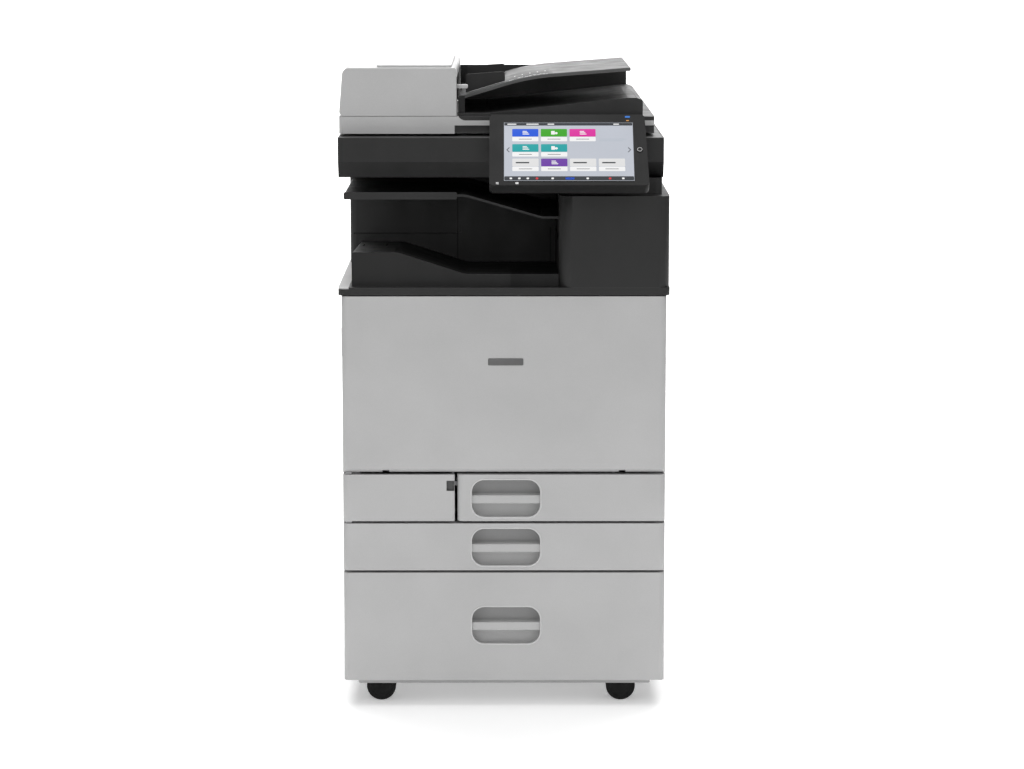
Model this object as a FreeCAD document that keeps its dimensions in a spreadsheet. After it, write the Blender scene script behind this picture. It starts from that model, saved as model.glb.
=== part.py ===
import FreeCAD, Part
import math
import os

import Sketcher

# Floor-standing colour copier: three paper drawers, print engine, scanner and document feeder.
# Millimetres, +Z up, front towards -Y, origin on the floor under the middle of the footprint.

os.makedirs("parts", exist_ok=True)
doc = FreeCAD.newDocument("photocopier")
sheet = doc.addObject("Spreadsheet::Sheet", "Sizes")

SIZES = {
    # outer case
    "body_width": 587, "body_depth": 605, "panel_reach": 80, "deck_overhang": 5.5,
    "cover_wall": 3, "front_depth": 25, "front_gap": 4.6, "corner_round": 10,
    "body_bottom": 50, "lower_front": 201.5, "middle_front": 86.9, "upper_front": 85.9,
    "door_height": 321.9, "deck_gap": 2, "deck_height": 14, "tower_height": 195,
    "scanner_height": 73, "feeder_gap": 5, "feeder_band": 31, "feeder_block": 87,
    # clearances
    "run_gap": 0.05, "seat_gap": 0.3,
    # base and casters
    "skirt_inset": 24.5, "skirt_bottom": 38, "base_setback": 27, "base_tail": 15,
    "base_sheet": 2, "base_top": 68, "wheel_radius": 27, "wheel_width": 15, "wheel_gap": 1,
    "yoke_width": 12, "caster_spread": 443, "caster_inset": 44, "caster_trail": 6,
    "axle_radius": 4, "stem_radius": 5.5, "crown_radius": 22, "crown_bottom": 56.5,
    "socket_radius": 14, "socket_height": 16, "stabiliser_hole": 2.75,
    "stabiliser_span": 400, "stabiliser_pitch": 300,
    # frame
    "post_reach": 282, "post_size": 20, "post_front": 5.5, "post_rear": 37.5, "shelf_drop": 1.4,
    "plate_thick": 3, "plate_set": 7, "ring_height": 20, "cover_stud": 10,
    # drawers
    "tub_half": 250, "tub_wall": 2.5, "tub_length": 447, "ridge": 8, "ridge_height": 6,
    "rail_size": 8, "tub_clear": 5, "waste_width": 206, "divider": 3,
    "recess_width": 127, "recess_height": 71, "recess_round": 24, "recess_depth": 21,
    "recess_shift": 3.5, "recess_drop": 8.5, "grip_height": 16, "grip_drop": 30, "grip_depth": 7,
    "grip_set": 4, "lift_plate": 2, "lift_pin": 2, "lower_recess_drop": 63,
    # engine
    "bottle_radius": 30, "bottle_pitch": 100, "bottle_first": -195,
    "bottle_height": 700, "journal": 10, "bottle_plate": 150, "laser_height": 90,
    "unit_width": 80, "unit_height": 72, "drum_radius": 15, "drum_height": 606.4,
    "belt_left": -250, "belt_right": 190, "belt_bottom": 622, "belt_height": 30,
    "belt_thick": 1, "fuser_left": 195, "fuser_right": 258, "fuser_bottom": 650,
    "fuser_height": 85, "fuser_roller": 15,
    # doors
    "hinge_round": 6, "hinge_pin": 2.5, "lug_width": 10, "lug_spread": 430, "door_wall": 3,
    "barrel": 6.5, "barrel_pin": 3, "barrel_back": 20.5, "duplex_depth": 27.5,
    "bypass_front": -150, "bypass_back": 170, "bypass_bottom": 522, "bypass_top": 700,
    "bypass_thick": 8, "rear_pan": 12.5,
    # power switch
    "switch_front": -205, "switch_back": -155, "switch_bottom": 646, "switch_top": 699,
    "switch_well": 12.5, "flap_proud": 3.2, "rocker_height": 24, "rocker_width": 20,
    # output tray and tower
    "tower_front_left": 99, "tower_right": 298, "tower_left": 296, "tower_rear_wall": 137,
    "tower_round": 24, "tower_neck": 30,
    "tray_left": -275, "tray_front": -246, "tray_high": 62, "tray_low": 23,
    "tray_crest": -192, "tray_foot": -71, "tray_fall": 0.055, "tray_wall": 3, "tray_round": 45,
    "fence_front": -20,
    "bin_left": -290, "bin_front": -215, "bin_height": 940, "bin_end": 900, "bin_thick": 4,
    "bin_rim": 13, "bin_bend": -70, "exit_front": -150, "exit_back": 120, "exit_slot": 12,
    # scanner
    "scanner_shift": -5.5, "scanner_front": -232, "scanner_rear": 330, "scanner_crease": 29,
    "scanner_tuck": 18, "lid_thick": 6, "lid_ledge": 8, "glass_left": -240, "glass_right": 190,
    "glass_front": -130, "glass_back": 170, "glass_thick": 3, "strip_left": -276,
    "strip_right": -256, "carriage_width": 42, "carriage_height": 24, "carriage_left": -262,
    # document feeder
    "feeder_left": -298, "feeder_right": 272, "feeder_front": -205, "feeder_rear": 262,
    "feeder_hinge": 280, "block_right": -85, "block_draft": 7, "block_round": 8,
    "ear_stand": 7, "back_wall": 71,
    "bump_height": 4, "hem": 15, "out_low": 5, "out_high": 33, "out_right": 251, "out_crest": 224,
    "out_front": -195, "out_back": 255, "in_left": -80, "in_right": 230, "in_low": 34,
    "in_mid": 72, "in_high": 86, "in_bend": 45, "in_round": 400, "in_thick": 6,
    "in_front": -165, "in_back": 232,
    "guide_front": -118, "guide_back": 178, "guide_thick": 3, "guide_right": 2,
    "pad_thick": 4.4, "pad_front": -140, "pad_back": 180, "feed_roller": 14,
    # operation panel
    "panel_left": -142, "panel_right": 141.5, "panel_taper": 5, "panel_face": 165.5,
    "panel_thick": 22, "panel_centre": 116, "panel_low": 968, "panel_lean": 45,
    "panel_round": 8, "screen_left": -116, "screen_right": 115, "screen_low": 10.5,
    "screen_high": 146.4, "screen_thick": 1.6, "button_across": 126, "button_up": 82,
    "button_radius": 5, "arm_half": 50, "arm_pivot_y": -280,
    "arm_pivot_z": 985, "arm_barrel": 8, "arm_pin": 4, "arm_ear": 11,
    # rear
    "inlet_across": 220, "inlet_height": 100, "inlet_width": 28, "inlet_tall": 22,
    "board_half": 200, "board_bottom": 460, "board_top": 700,
}


class Size:
    """A length that is known both as a sheet expression and as a number."""

    def __init__(self, text, value):
        self.text = text
        self.value = float(value)

    def __add__(self, other):
        other = size(other)
        return Size(f"({self.text} + {other.text})", self.value + other.value)

    def __sub__(self, other):
        other = size(other)
        return Size(f"({self.text} - {other.text})", self.value - other.value)

    def __mul__(self, other):
        other = size(other)
        return Size(f"({self.text} * {other.text})", self.value * other.value)

    def __truediv__(self, other):
        other = size(other)
        return Size(f"({self.text} / {other.text})", self.value / other.value)

    def __radd__(self, other):
        return size(other) + self

    def __rsub__(self, other):
        return size(other) - self

    def __rmul__(self, other):
        return size(other) * self

    def __neg__(self):
        return Size(f"(0 - {self.text})", -self.value)


def size(value):
    if isinstance(value, Size):
        return value
    return Size(repr(float(value)), value)


class Sheet:
    """The driving dimensions, each read as an attribute."""


d = Sheet()
for row, (alias, number) in enumerate(SIZES.items(), start=1):
    sheet.set(f"A{row}", alias)
    sheet.set(f"B{row}", str(number))
    sheet.setAlias(f"B{row}", alias)
    setattr(d, alias, Size(f"Sizes.{alias}", number))
doc.recompute()

nodes = []


# ---- building blocks -------------------------------------------------------------------------


def node(shape, label):
    """Name a finished sub-part and put it on the list of pieces to write."""
    shape.Label = label
    nodes.append(shape)
    return shape


def bind(part, prop, value):
    part.setExpression(prop, size(value).text)


def place(part, point):
    for axis, value in zip("xyz", point):
        bind(part, f"Placement.Base.{axis}", value)
    return part


def box(low, high):
    """A block between two opposite corners."""
    part = doc.addObject("Part::Box", "block")
    for prop, start, end in zip(("Length", "Width", "Height"), low, high):
        bind(part, prop, size(end) - start)
    return place(part, low)


TURNS = {
    "X": FreeCAD.Rotation(FreeCAD.Vector(0, 1, 0), 90),
    "Y": FreeCAD.Rotation(FreeCAD.Vector(1, 0, 0), -90),
    "Z": FreeCAD.Rotation(),
}


def rod(axis, start, radius, length):
    """A cylinder that runs from start along the positive axis."""
    part = doc.addObject("Part::Cylinder", "rod")
    part.Placement.Rotation = TURNS[axis]
    bind(part, "Radius", radius)
    bind(part, "Height", length)
    return place(part, start)


def fuse(*shapes):
    part = doc.addObject("Part::MultiFuse", "joined")
    part.Shapes = list(shapes)
    part.Refine = True
    return part


def cut(base, *tools):
    part = doc.addObject("Part::Cut", "cut")
    part.Base = base
    part.Tool = tools[0] if len(tools) == 1 else fuse(*tools)
    part.Refine = True
    return part


def common(first, second):
    part = doc.addObject("Part::Common", "shared")
    part.Base = first
    part.Tool = second
    return part


def group(*shapes):
    part = doc.addObject("Part::Compound", "group")
    part.Links = list(shapes)
    return part


def unit(vector):
    return vector / vector.Length


def corner_arc(before, corner, after, radius):
    """The two tangent points and the middle point of an arc that rounds a corner."""
    back = unit(before - corner)
    ahead = unit(after - corner)
    half = math.acos(max(-1, min(1, back.dot(ahead)))) / 2
    reach = radius / math.tan(half)
    middle = corner + unit(back + ahead) * (radius / math.sin(half) - radius)
    return corner + back * reach, middle, corner + ahead * reach


def pin_point(sketch, geometry, position, x, y):
    """Hold one point of a sketch at sheet-driven coordinates."""
    for kind, value in (("DistanceX", x), ("DistanceY", y)):
        rule = sketch.addConstraint(
            Sketcher.Constraint(kind, -1, 1, geometry, position, size(value).value)
        )
        sketch.setExpression(f"Constraints[{rule}]", size(value).text)


def loop(sketch, corners):
    """A closed outline through corners (x, y) or (x, y, radius)."""
    points = [FreeCAD.Vector(size(c[0]).value, size(c[1]).value, 0) for c in corners]
    count = len(points)
    ends = []
    for i, corner in enumerate(corners):
        if len(corner) == 3:
            ends.append(
                corner_arc(points[i - 1], points[i], points[(i + 1) % count], size(corner[2]).value)
            )
        else:
            ends.append((points[i], None, points[i]))
    lines = [
        sketch.addGeometry(Part.LineSegment(ends[i][2], ends[(i + 1) % count][0]))
        for i in range(count)
    ]
    for i, corner in enumerate(corners):
        before, after = lines[i - 1], lines[i]
        if len(corner) == 2:
            sketch.addConstraint(Sketcher.Constraint("Coincident", before, 2, after, 1))
            pin_point(sketch, after, 1, corner[0], corner[1])
            continue
        arc = sketch.addGeometry(Part.Arc(*ends[i]))
        first = 1 if (sketch.getPoint(arc, 1) - ends[i][0]).Length < 1e-4 else 2
        sketch.addConstraint(Sketcher.Constraint("Tangent", before, 2, arc, first))
        sketch.addConstraint(Sketcher.Constraint("Tangent", arc, 3 - first, after, 1))
        rule = sketch.addConstraint(Sketcher.Constraint("Radius", arc, size(corner[2]).value))
        sketch.setExpression(f"Constraints[{rule}]", size(corner[2]).text)
        sharp = sketch.addGeometry(Part.Point(points[i]), True)
        pin_point(sketch, sharp, 1, corner[0], corner[1])
        for line in (before, after):
            sketch.addConstraint(Sketcher.Constraint("PointOnObject", sharp, 1, line))


def new_sketch(body, role, offset):
    """A sketch on one of the body's origin planes, set off along the plane's normal."""
    sketch = body.newObject("Sketcher::SketchObject", "outline")
    plane = [f for f in body.Origin.OriginFeatures if f.Role == role + "_Plane"][0]
    sketch.AttachmentSupport = (plane, [""])
    sketch.MapMode = "FlatFace"
    bind(sketch, "AttachmentOffset.Base.z", offset)
    return sketch


def prism(role, low, high, *outlines):
    """A body padded along the plane's axis from low to high; inner outlines are holes."""
    body = doc.addObject("PartDesign::Body", "body")
    # the XZ plane faces -Y, so its sketch lies at the far end
    sketch = new_sketch(body, role, -size(high) if role == "XZ" else low)
    for corners in outlines:
        loop(sketch, corners)
    pad = body.newObject("PartDesign::Pad", "pad")
    pad.Profile = sketch
    bind(pad, "Length", size(high) - low)
    return body


def rectangle(x_low, y_low, x_high, y_high, *radius):
    return [
        (x_low, y_low, *radius), (x_high, y_low, *radius),
        (x_high, y_high, *radius), (x_low, y_high, *radius),
    ]


# ---- levels and planes that many pieces share ------------------------------------------------

half = d.body_width / 2
front = d.panel_reach - (d.body_depth + d.panel_reach) / 2
rear = (d.body_depth + d.panel_reach) / 2
inside_front = front + d.front_depth
inner_half = half - d.cover_wall

lower_low = d.body_bottom
lower_high = lower_low + d.lower_front
middle_low = lower_high + d.front_gap
middle_high = middle_low + d.middle_front
upper_low = middle_high + d.front_gap
upper_high = upper_low + d.upper_front
door_low = upper_high + d.front_gap
door_high = door_low + d.door_height
deck_low = door_high + d.deck_gap
deck_high = deck_low + d.deck_height
tower_high = deck_high + d.tower_height
scanner_high = tower_high + d.scanner_height
feeder_low = scanner_high + d.feeder_gap
band_high = feeder_low + d.feeder_band
feeder_high = band_high + d.feeder_block

scan_left = d.scanner_shift - half
scan_right = d.scanner_shift + half
post_in = d.post_reach - d.post_size
post_y = inside_front + d.post_front
front_posts = (post_y, post_y + d.post_size)
plate_y = post_y + d.plate_set
rear_posts = (rear - d.post_rear - d.post_size, rear - d.post_rear)
frame_top = deck_high - d.cover_wall
shelf_high = door_low + d.shelf_drop
cover_back = rear - d.rear_pan - 1


# ---- base and casters ------------------------------------------------------------------------

base_half = half - d.skirt_inset
base_front = front + d.base_setback
base_rear = rear - d.base_tail
CASTERS = {
    "front_left": (-1, base_front + d.caster_inset),
    "front_right": (1, base_front + d.caster_inset),
    "rear_left": (-1, base_rear - d.caster_inset),
    "rear_right": (1, base_rear - d.caster_inset),
}
stabiliser_middle = (base_front + base_rear) / 2


def base_plate():
    skirt = prism(
        "XY", d.skirt_bottom, d.base_top,
        rectangle(-base_half, base_front, base_half, base_rear, 6),
    )
    hollow = box(
        (d.base_sheet - base_half, base_front + d.base_sheet, d.skirt_bottom - 1),
        (base_half - d.base_sheet, base_rear - d.base_sheet, d.base_top - d.base_sheet),
    )
    sockets = []
    bores = []
    for side, y in CASTERS.values():
        x = d.caster_spread / 2 * side
        sockets.append(rod("Z", (x, y, d.base_top - 1), d.socket_radius, d.socket_height + 1))
        bores.append(rod("Z", (x, y, d.skirt_bottom), d.stem_radius + d.run_gap, 80))
    for x in (-1, 1):
        for y in (-1, 1):
            where = (
                d.stabiliser_span / 2 * x,
                stabiliser_middle + d.stabiliser_pitch / 2 * y,
                d.skirt_bottom,
            )
            bores.append(rod("Z", where, d.stabiliser_hole, 40))
    node(cut(fuse(cut(skirt, hollow), *sockets), *bores), "base_plate")


def caster(place_name, side, y):
    pivot_x = d.caster_spread / 2 * side
    wheel_x = pivot_x - d.caster_trail
    axle_z = d.wheel_radius
    crown_top = d.base_top - d.base_sheet - d.seat_gap
    half_yoke = d.yoke_width / 2
    web = prism(
        "XZ", y - half_yoke, y + half_yoke,
        [
            (wheel_x - 11, axle_z - 11, 8), (wheel_x + 11, axle_z - 11, 8),
            (pivot_x + 17, d.crown_bottom + 2), (pivot_x - 17, d.crown_bottom + 2),
        ],
    )
    crown = rod("Z", (pivot_x, y, d.crown_bottom), d.crown_radius, crown_top - d.crown_bottom)
    stem = rod("Z", (pivot_x, y, crown_top - 1), d.stem_radius, d.socket_height + 2)
    bore = rod("Y", (wheel_x, y - 20, axle_z), d.axle_radius + d.run_gap, 40)
    node(cut(fuse(web, crown, stem), bore), place_name + "_caster_yoke")
    inner = half_yoke + d.wheel_gap
    outer = inner + d.wheel_width
    axle = rod("Y", (wheel_x, y - inner - 1, axle_z), d.axle_radius, inner * 2 + 2)
    discs = []
    for low in (y - outer, y + inner):
        disc = rod("Y", (wheel_x, low, axle_z), d.wheel_radius, d.wheel_width)
        rim = doc.addObject("Part::Fillet", "tyre_edge")
        rim.Base = disc
        doc.recompute()
        rim.Edges = [(i + 1, 2.5, 2.5) for i, edge in enumerate(disc.Shape.Edges) if edge.Closed]
        discs.append(rim)
    node(fuse(axle, *discs), place_name + "_caster_wheel")


# ---- frame -----------------------------------------------------------------------------------

divider_x = d.waste_width - half - 4.5
lug_pivot = (front + d.hinge_round, door_low + d.hinge_round)
waste_pivot = (d.corner_round - half, front + d.corner_round)
rail_rows = {
    "upper": (upper_low + d.tub_clear, upper_high - d.tub_clear),
    "middle": (middle_low + d.tub_clear, middle_high - d.tub_clear),
    "lower": (d.base_top + d.socket_height + 4, lower_high - 6.5),
}


def rail_top(row):
    return rail_rows[row][1] - 2 * d.ridge_height - d.seat_gap


def uprights():
    """Four posts and the ring of bars that ties their tops."""
    bars = []
    ring_low = door_high - d.ring_height
    for x_low, x_high in ((-d.post_reach, -post_in), (post_in, d.post_reach)):
        for y_low, y_high in (front_posts, rear_posts):
            bars.append(box((x_low, y_low, d.base_top), (x_high, y_high, frame_top)))
        bars.append(box((x_low, front_posts[1], ring_low), (x_high, rear_posts[0], door_high)))
    for y_low, y_high in (front_posts, rear_posts):
        bars.append(box((-post_in, y_low, ring_low), (post_in, y_high, door_high)))
    return bars


def engine_plates():
    """The shelf under the engine and the upright plates that carry what stands on it."""
    ring_low = door_high - d.ring_height
    shelf = box(
        (-post_in, front_posts[0], shelf_high - d.plate_thick), (post_in, rear_posts[1], shelf_high)
    )
    front_plate = box((-post_in, plate_y, shelf_high), (post_in, plate_y + d.plate_thick, ring_low))
    rear_plate = box(
        (-post_in, rear_posts[1] - d.plate_thick, shelf_high), (post_in, rear_posts[1], ring_low)
    )
    bottle_plate = box(
        (-post_in, d.bottle_plate, d.bottle_height - d.bottle_radius - 15),
        (d.fuser_left - 8, d.bottle_plate + d.plate_thick, door_high),
    )
    plate_arm = box(
        (d.fuser_left - 9, d.bottle_plate, d.fuser_bottom + d.fuser_height + 3),
        (post_in, d.bottle_plate + d.plate_thick, door_high),
    )
    mouths = []
    journals = []
    for i in range(4):
        x = d.bottle_first + d.bottle_pitch * i
        mouths.append(rod(
            "Y", (x, plate_y - 1, d.bottle_height), d.bottle_radius + d.seat_gap, d.plate_thick + 2
        ))
        mouths.append(box(
            (x - d.unit_width / 2 - d.seat_gap, plate_y - 1, laser_high - d.seat_gap),
            (x + d.unit_width / 2 + d.seat_gap, plate_y + d.plate_thick + 1, unit_high + d.seat_gap),
        ))
        journals.append(rod(
            "Y", (x, d.bottle_plate - 1, d.bottle_height), d.journal + d.seat_gap, d.plate_thick + 2
        ))
    mouths.append(box(
        (tongue_left - d.seat_gap, plate_y - 1, tongue_low),
        (tongue_right + d.seat_gap, plate_y + d.plate_thick + 1, tongue_high + d.seat_gap),
    ))
    # a wall and a shelf keep the waste toner bottle apart from the upper drawer
    nook_low = upper_low - 3.4
    divider = box(
        (divider_x - d.divider, front_posts[0], nook_low),
        (divider_x, rear_posts[0], shelf_high - d.plate_thick),
    )
    nook = box(
        (-post_in, front_posts[0], nook_low), (divider_x - d.divider, 200, upper_low - 0.4)
    )
    return [
        shelf, cut(front_plate, *mouths), rear_plate,
        cut(fuse(bottle_plate, plate_arm), *journals), divider, nook,
    ]


def drawer_rails():
    rails = []
    for row in rail_rows:
        top = rail_top(row)
        left_edge = -post_in
        right_edge = -d.tub_half - 2
        if row == "upper":
            left_edge, right_edge = divider_x, divider_x + 10
        for x_low, x_high in ((left_edge, right_edge), (d.tub_half + 2, post_in)):
            rails.append(box(
                (x_low, front_posts[0], top - d.rail_size), (x_high, rear_posts[0], top)
            ))
    return rails


def hinge_lugs():
    """Lugs and pins of the front door, and the two tongues of the waste toner door."""
    lugs = []
    for side in (-1, 1):
        x = d.lug_spread / 2 * side
        arm = box(
            (x - d.lug_width / 2, lug_pivot[0], lug_pivot[1] - 4),
            (x + d.lug_width / 2, plate_y, lug_pivot[1] + 4),
        )
        nose = rod("X", (x - d.lug_width / 2, *lug_pivot), 4, d.lug_width)
        pin = rod("X", (x - d.lug_width, *lug_pivot), d.hinge_pin, d.lug_width * 2)
        lugs.append(fuse(arm, nose, pin))
    for low, high, pin_low in (
        (upper_high + 0.9, upper_high + 3.7, upper_high - 9),
        (upper_low - 3.6, upper_low - 0.8, upper_low - 2),
    ):
        tongue = box(
            (waste_pivot[0] - 5, waste_pivot[1] - 5, low), (waste_pivot[0] + 6, post_y, high)
        )
        lugs.append(fuse(tongue, rod("Z", (*waste_pivot, pin_low), d.hinge_pin, 12)))
    return lugs


def main_frame():
    node(group(*uprights(), *engine_plates(), *drawer_rails(), *hinge_lugs()), "main_frame")


# ---- drawers ---------------------------------------------------------------------------------

recess_back = front + d.recess_depth


def front_panel(low, high, x_low, x_high, recess_drop, label):
    """A drawer front with a rounded hand recess and a grip bar across it."""
    slab = prism(
        "XY", low, high,
        [
            (x_low, front, d.corner_round), (x_high, front, d.corner_round),
            (x_high, inside_front), (x_low, inside_front),
        ],
    )
    left = d.recess_shift - d.recess_width / 2
    right = d.recess_shift + d.recess_width / 2
    top = high - recess_drop
    recess = prism(
        "XZ", front - 1, recess_back,
        rectangle(left, top - d.recess_height, right, top, d.recess_round),
    )
    grip_top = top - d.grip_drop
    grip = prism(
        "YZ", left - 1, right + 1,
        rectangle(
            front + d.grip_set, grip_top - d.grip_height,
            front + d.grip_set + d.grip_depth, grip_top, 2.5,
        ),
    )
    node(fuse(cut(slab, recess), grip), label)


def tub(row, x_low, x_high):
    low, high = rail_rows[row]
    back = inside_front + d.tub_length
    shell = prism(
        "XY", low, high, rectangle(x_low, inside_front, x_high, back, 6),
    )
    hollow = box(
        (x_low + d.tub_wall, inside_front + d.tub_wall, low + d.tub_wall),
        (x_high - d.tub_wall, back - d.tub_wall, high + 1),
    )
    ridges = []
    for start, end in ((x_low - d.ridge, x_low + 1), (x_high - 1, x_high + d.ridge)):
        ridges.append(box(
            (start, inside_front + 8, high - 2 * d.ridge_height),
            (end, back - 8, high - d.ridge_height),
        ))
    pivot_x = x_low + 14
    pivot_z = low + d.tub_wall + 5
    reach = back - inside_front
    bore = rod(
        "Y", (pivot_x, inside_front - 1, pivot_z), d.lift_pin + d.run_gap, reach + 2
    )
    pieces = [fuse(cut(shell, hollow), *ridges)]
    if row == "lower":
        node(pieces[0], "lower_drawer_tub")
    else:
        node(cut(pieces[0], bore), row + "_drawer_tub")
    lift_low = low + d.tub_wall + (d.seat_gap if row == "lower" else 4)
    plate = box(
        (pivot_x + 5, inside_front + d.tub_wall + 4, lift_low),
        (x_high - d.tub_wall - 8, back - d.tub_wall - 4, lift_low + d.lift_plate),
    )
    if row == "lower":
        node(plate, "lower_lift_plate")
        return
    pin = rod("Y", (pivot_x, inside_front + 0.5, pivot_z), d.lift_pin, reach - 1)
    web = box(
        (pivot_x, inside_front + d.tub_wall + 4, lift_low),
        (pivot_x + 6, back - d.tub_wall - 4, lift_low + d.lift_plate),
    )
    node(fuse(plate, pin, web), row + "_lift_plate")


def drawers():
    upper_left = divider_x + 5 + d.ridge
    front_panel(lower_low, lower_high, -half, half, d.lower_recess_drop, "lower_drawer_front")
    front_panel(middle_low, middle_high, -half, half, d.recess_drop, "middle_drawer_front")
    front_panel(upper_low, upper_high, upper_front_left, half, d.recess_drop, "upper_drawer_front")
    tub("lower", -d.tub_half, d.tub_half)
    tub("middle", -d.tub_half, d.tub_half)
    tub("upper", upper_left, d.tub_half)


upper_front_left = d.waste_width - half + d.front_gap / 2
waste_right = d.waste_width - half - d.front_gap / 2


def waste_toner_door():
    slab = prism(
        "XY", upper_low, upper_high,
        [
            (-half, front, d.corner_round), (waste_right, front, 3),
            (waste_right, front + 12), (-half, front + 12),
        ],
    )
    block = box(
        (-half + 3, front + 11, upper_low), (-half + 20, inside_front - 8, upper_high)
    )
    notch = box(
        (waste_right - 15, front - 1, upper_high - 30), (waste_right - 1, front + 6, upper_high - 11)
    )
    bores = [
        rod("Z", (*waste_pivot, upper_high - 12), d.hinge_pin + d.run_gap, 20),
        rod("Z", (*waste_pivot, upper_low - 5), d.hinge_pin + d.run_gap, 16),
    ]
    node(cut(fuse(slab, block), notch, *bores), "waste_toner_door")
    shelf = upper_low - 0.4
    bottle = prism(
        "XY", shelf, shelf + 76,
        rectangle(-post_in + 2, front_posts[0] + 4, divider_x - 7, 150, 8),
    )
    neck = rod("Z", (-post_in + 40, 110, shelf + 75), 14, 8)
    node(fuse(bottle, neck), "waste_toner_bottle")


# ---- print engine ----------------------------------------------------------------------------

laser_high = shelf_high + d.laser_height
unit_high = laser_high + d.unit_height
plate_back = rear_posts[1] - d.plate_thick
belt_high = d.belt_bottom + d.belt_height
tongue_left = d.belt_left + 12
tongue_right = d.belt_right - 12
tongue_low = d.belt_bottom + 4
tongue_high = belt_high - 4


def print_engine():
    laser = prism(
        "XY", shelf_high, laser_high,
        rectangle(d.bottle_first - 55, -205, d.bottle_first + 355, 280, 6),
    )
    slits = []
    housings = []
    drums = []
    for i in range(4):
        x = d.bottle_first + d.bottle_pitch * i
        slits.append(box((x - 4, -160, laser_high - 6), (x + 4, 240, laser_high + 1)))
        low = (x - d.unit_width / 2, front_posts[0] + 2, laser_high)
        high = (x + d.unit_width / 2, plate_back, unit_high)
        trough = rod("Y", (x, -190, d.drum_height), d.drum_radius + 1, 470)
        window = box((x - 3, -160, laser_high - 1), (x + 3, 240, unit_high))
        housings.append(cut(box(low, high), trough, window))
        drums.append(rod("Y", (x, -189.7, d.drum_height), d.drum_radius, 469.4))
    node(cut(laser, *slits), "laser_unit")
    node(group(*housings, *drums), "drum_units")
    loop_out = rectangle(d.belt_left, d.belt_bottom, d.belt_right, belt_high, d.belt_height / 2 - 0.5)
    inset = d.belt_thick
    loop_in = rectangle(
        d.belt_left + inset, d.belt_bottom + inset, d.belt_right - inset, belt_high - inset,
        d.belt_height / 2 - 0.5 - inset,
    )
    belt = prism("XZ", -200, 280, loop_out, loop_in)
    inset = inset + 0.2
    frame_out = rectangle(
        d.belt_left + inset, d.belt_bottom + inset, d.belt_right - inset, belt_high - inset,
        d.belt_height / 2 - 0.5 - inset,
    )
    core = prism("XZ", -200, 280, frame_out)
    tongue = box(
        (tongue_left, front_posts[0] + 2, tongue_low), (tongue_right, plate_back, tongue_high)
    )
    node(group(belt, fuse(core, tongue)), "transfer_belt_unit")


def fuser():
    low, high = d.fuser_bottom, d.fuser_bottom + d.fuser_height
    near = front_posts[0] + 7 + d.plate_thick
    block = box((d.fuser_left, near, low), (d.fuser_right, plate_back, high))
    axis_x = d.fuser_left + 28
    axis_z = low + 50
    hollow = box(
        (d.fuser_left + 3, near + 20, low + 20), (d.fuser_right + 1, plate_back - 20, high - 5)
    )
    path = box((axis_x + 16, near + 20, low - 1), (d.fuser_right - 8, plate_back - 20, high + 1))
    bore = rod("Y", (axis_x, near + 5, axis_z), 5 + d.run_gap, plate_back - near - 10)
    node(cut(block, hollow, path, bore), "fuser_frame")
    core = rod("Y", (axis_x, near + 6, axis_z), 5, plate_back - near - 12)
    sleeve = rod("Y", (axis_x, near + 24, axis_z), d.fuser_roller, plate_back - near - 48)
    node(fuse(core, sleeve), "fuser_roller")


def toner_bottle(index):
    x = d.bottle_first + d.bottle_pitch * index
    nose = front_posts[0] + 1
    barrel = rod("Y", (x, nose, d.bottle_height), d.bottle_radius, d.bottle_plate - 6 - nose)
    tail = rod("Y", (x, d.bottle_plate - 7, d.bottle_height), d.journal, 20)
    thumb = prism(
        "XZ", nose - 3.5, nose + 1,
        rectangle(x - 18, d.bottle_height - 5, x + 18, d.bottle_height + 5, 4),
    )
    node(fuse(barrel, tail, thumb), f"toner_bottle_{index + 1}")


def controller_box():
    case = prism(
        "XY", d.board_bottom, d.board_top,
        rectangle(-d.board_half, rear_posts[1], d.board_half, rear_posts[1] + 20, 3),
    )
    ports = [
        box(
            (d.board_half - 60, rear_posts[1] + 14, d.board_bottom + 20 + 28 * i),
            (d.board_half - 42, rear_posts[1] + 21, d.board_bottom + 34 + 28 * i),
        )
        for i in range(3)
    ]
    node(cut(case, *ports), "controller_box")


# ---- covers ----------------------------------------------------------------------------------


def cover_studs(side, rows):
    """Short studs that hold a side cover on the frame's posts."""
    studs = []
    inner = inner_half - d.post_reach + 0.5
    for y_low, y_high in (front_posts, rear_posts):
        for z in rows:
            middle = (y_low + y_high) / 2
            x_low = d.post_reach if side > 0 else -inner_half - 0.5
            studs.append(box(
                (x_low, middle - d.cover_stud / 2, z),
                (x_low + inner, middle + d.cover_stud / 2, z + d.cover_stud),
            ))
    return studs


def left_cover():
    sheet_part = box((-half, inside_front + 2, d.body_bottom + 2), (-inner_half, cover_back, door_high))
    studs = cover_studs(-1, (150, 610))
    well = box(
        (-inner_half - 1, d.switch_front - 2, d.switch_bottom - 2),
        (d.switch_well + 2 - inner_half, d.switch_back + 2, d.switch_top + 2),
    )
    window = box(
        (-half - 1, d.switch_front, d.switch_bottom),
        (d.switch_well - inner_half, d.switch_back, d.switch_top),
    )
    seam = box(
        (-half - 1, inside_front, door_low - 3), (0.8 - half, rear, door_low - 1)
    )
    pins = [
        rod("Y", (switch_pivot[0], d.switch_front - 1.8, switch_pivot[1]), 2 + d.run_gap, 53.6),
        rod("Y", (flap_pivot[0], d.switch_front - 1.8, flap_pivot[1]), 1.2 + d.run_gap, 53.6),
    ]
    node(cut(fuse(sheet_part, well, *studs), window, seam, *pins), "left_cover")


switch_pivot = (d.switch_well - inner_half - 5, (d.switch_bottom + d.switch_top) / 2)
flap_pivot = (1 - half, d.switch_top - 6)


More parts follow.
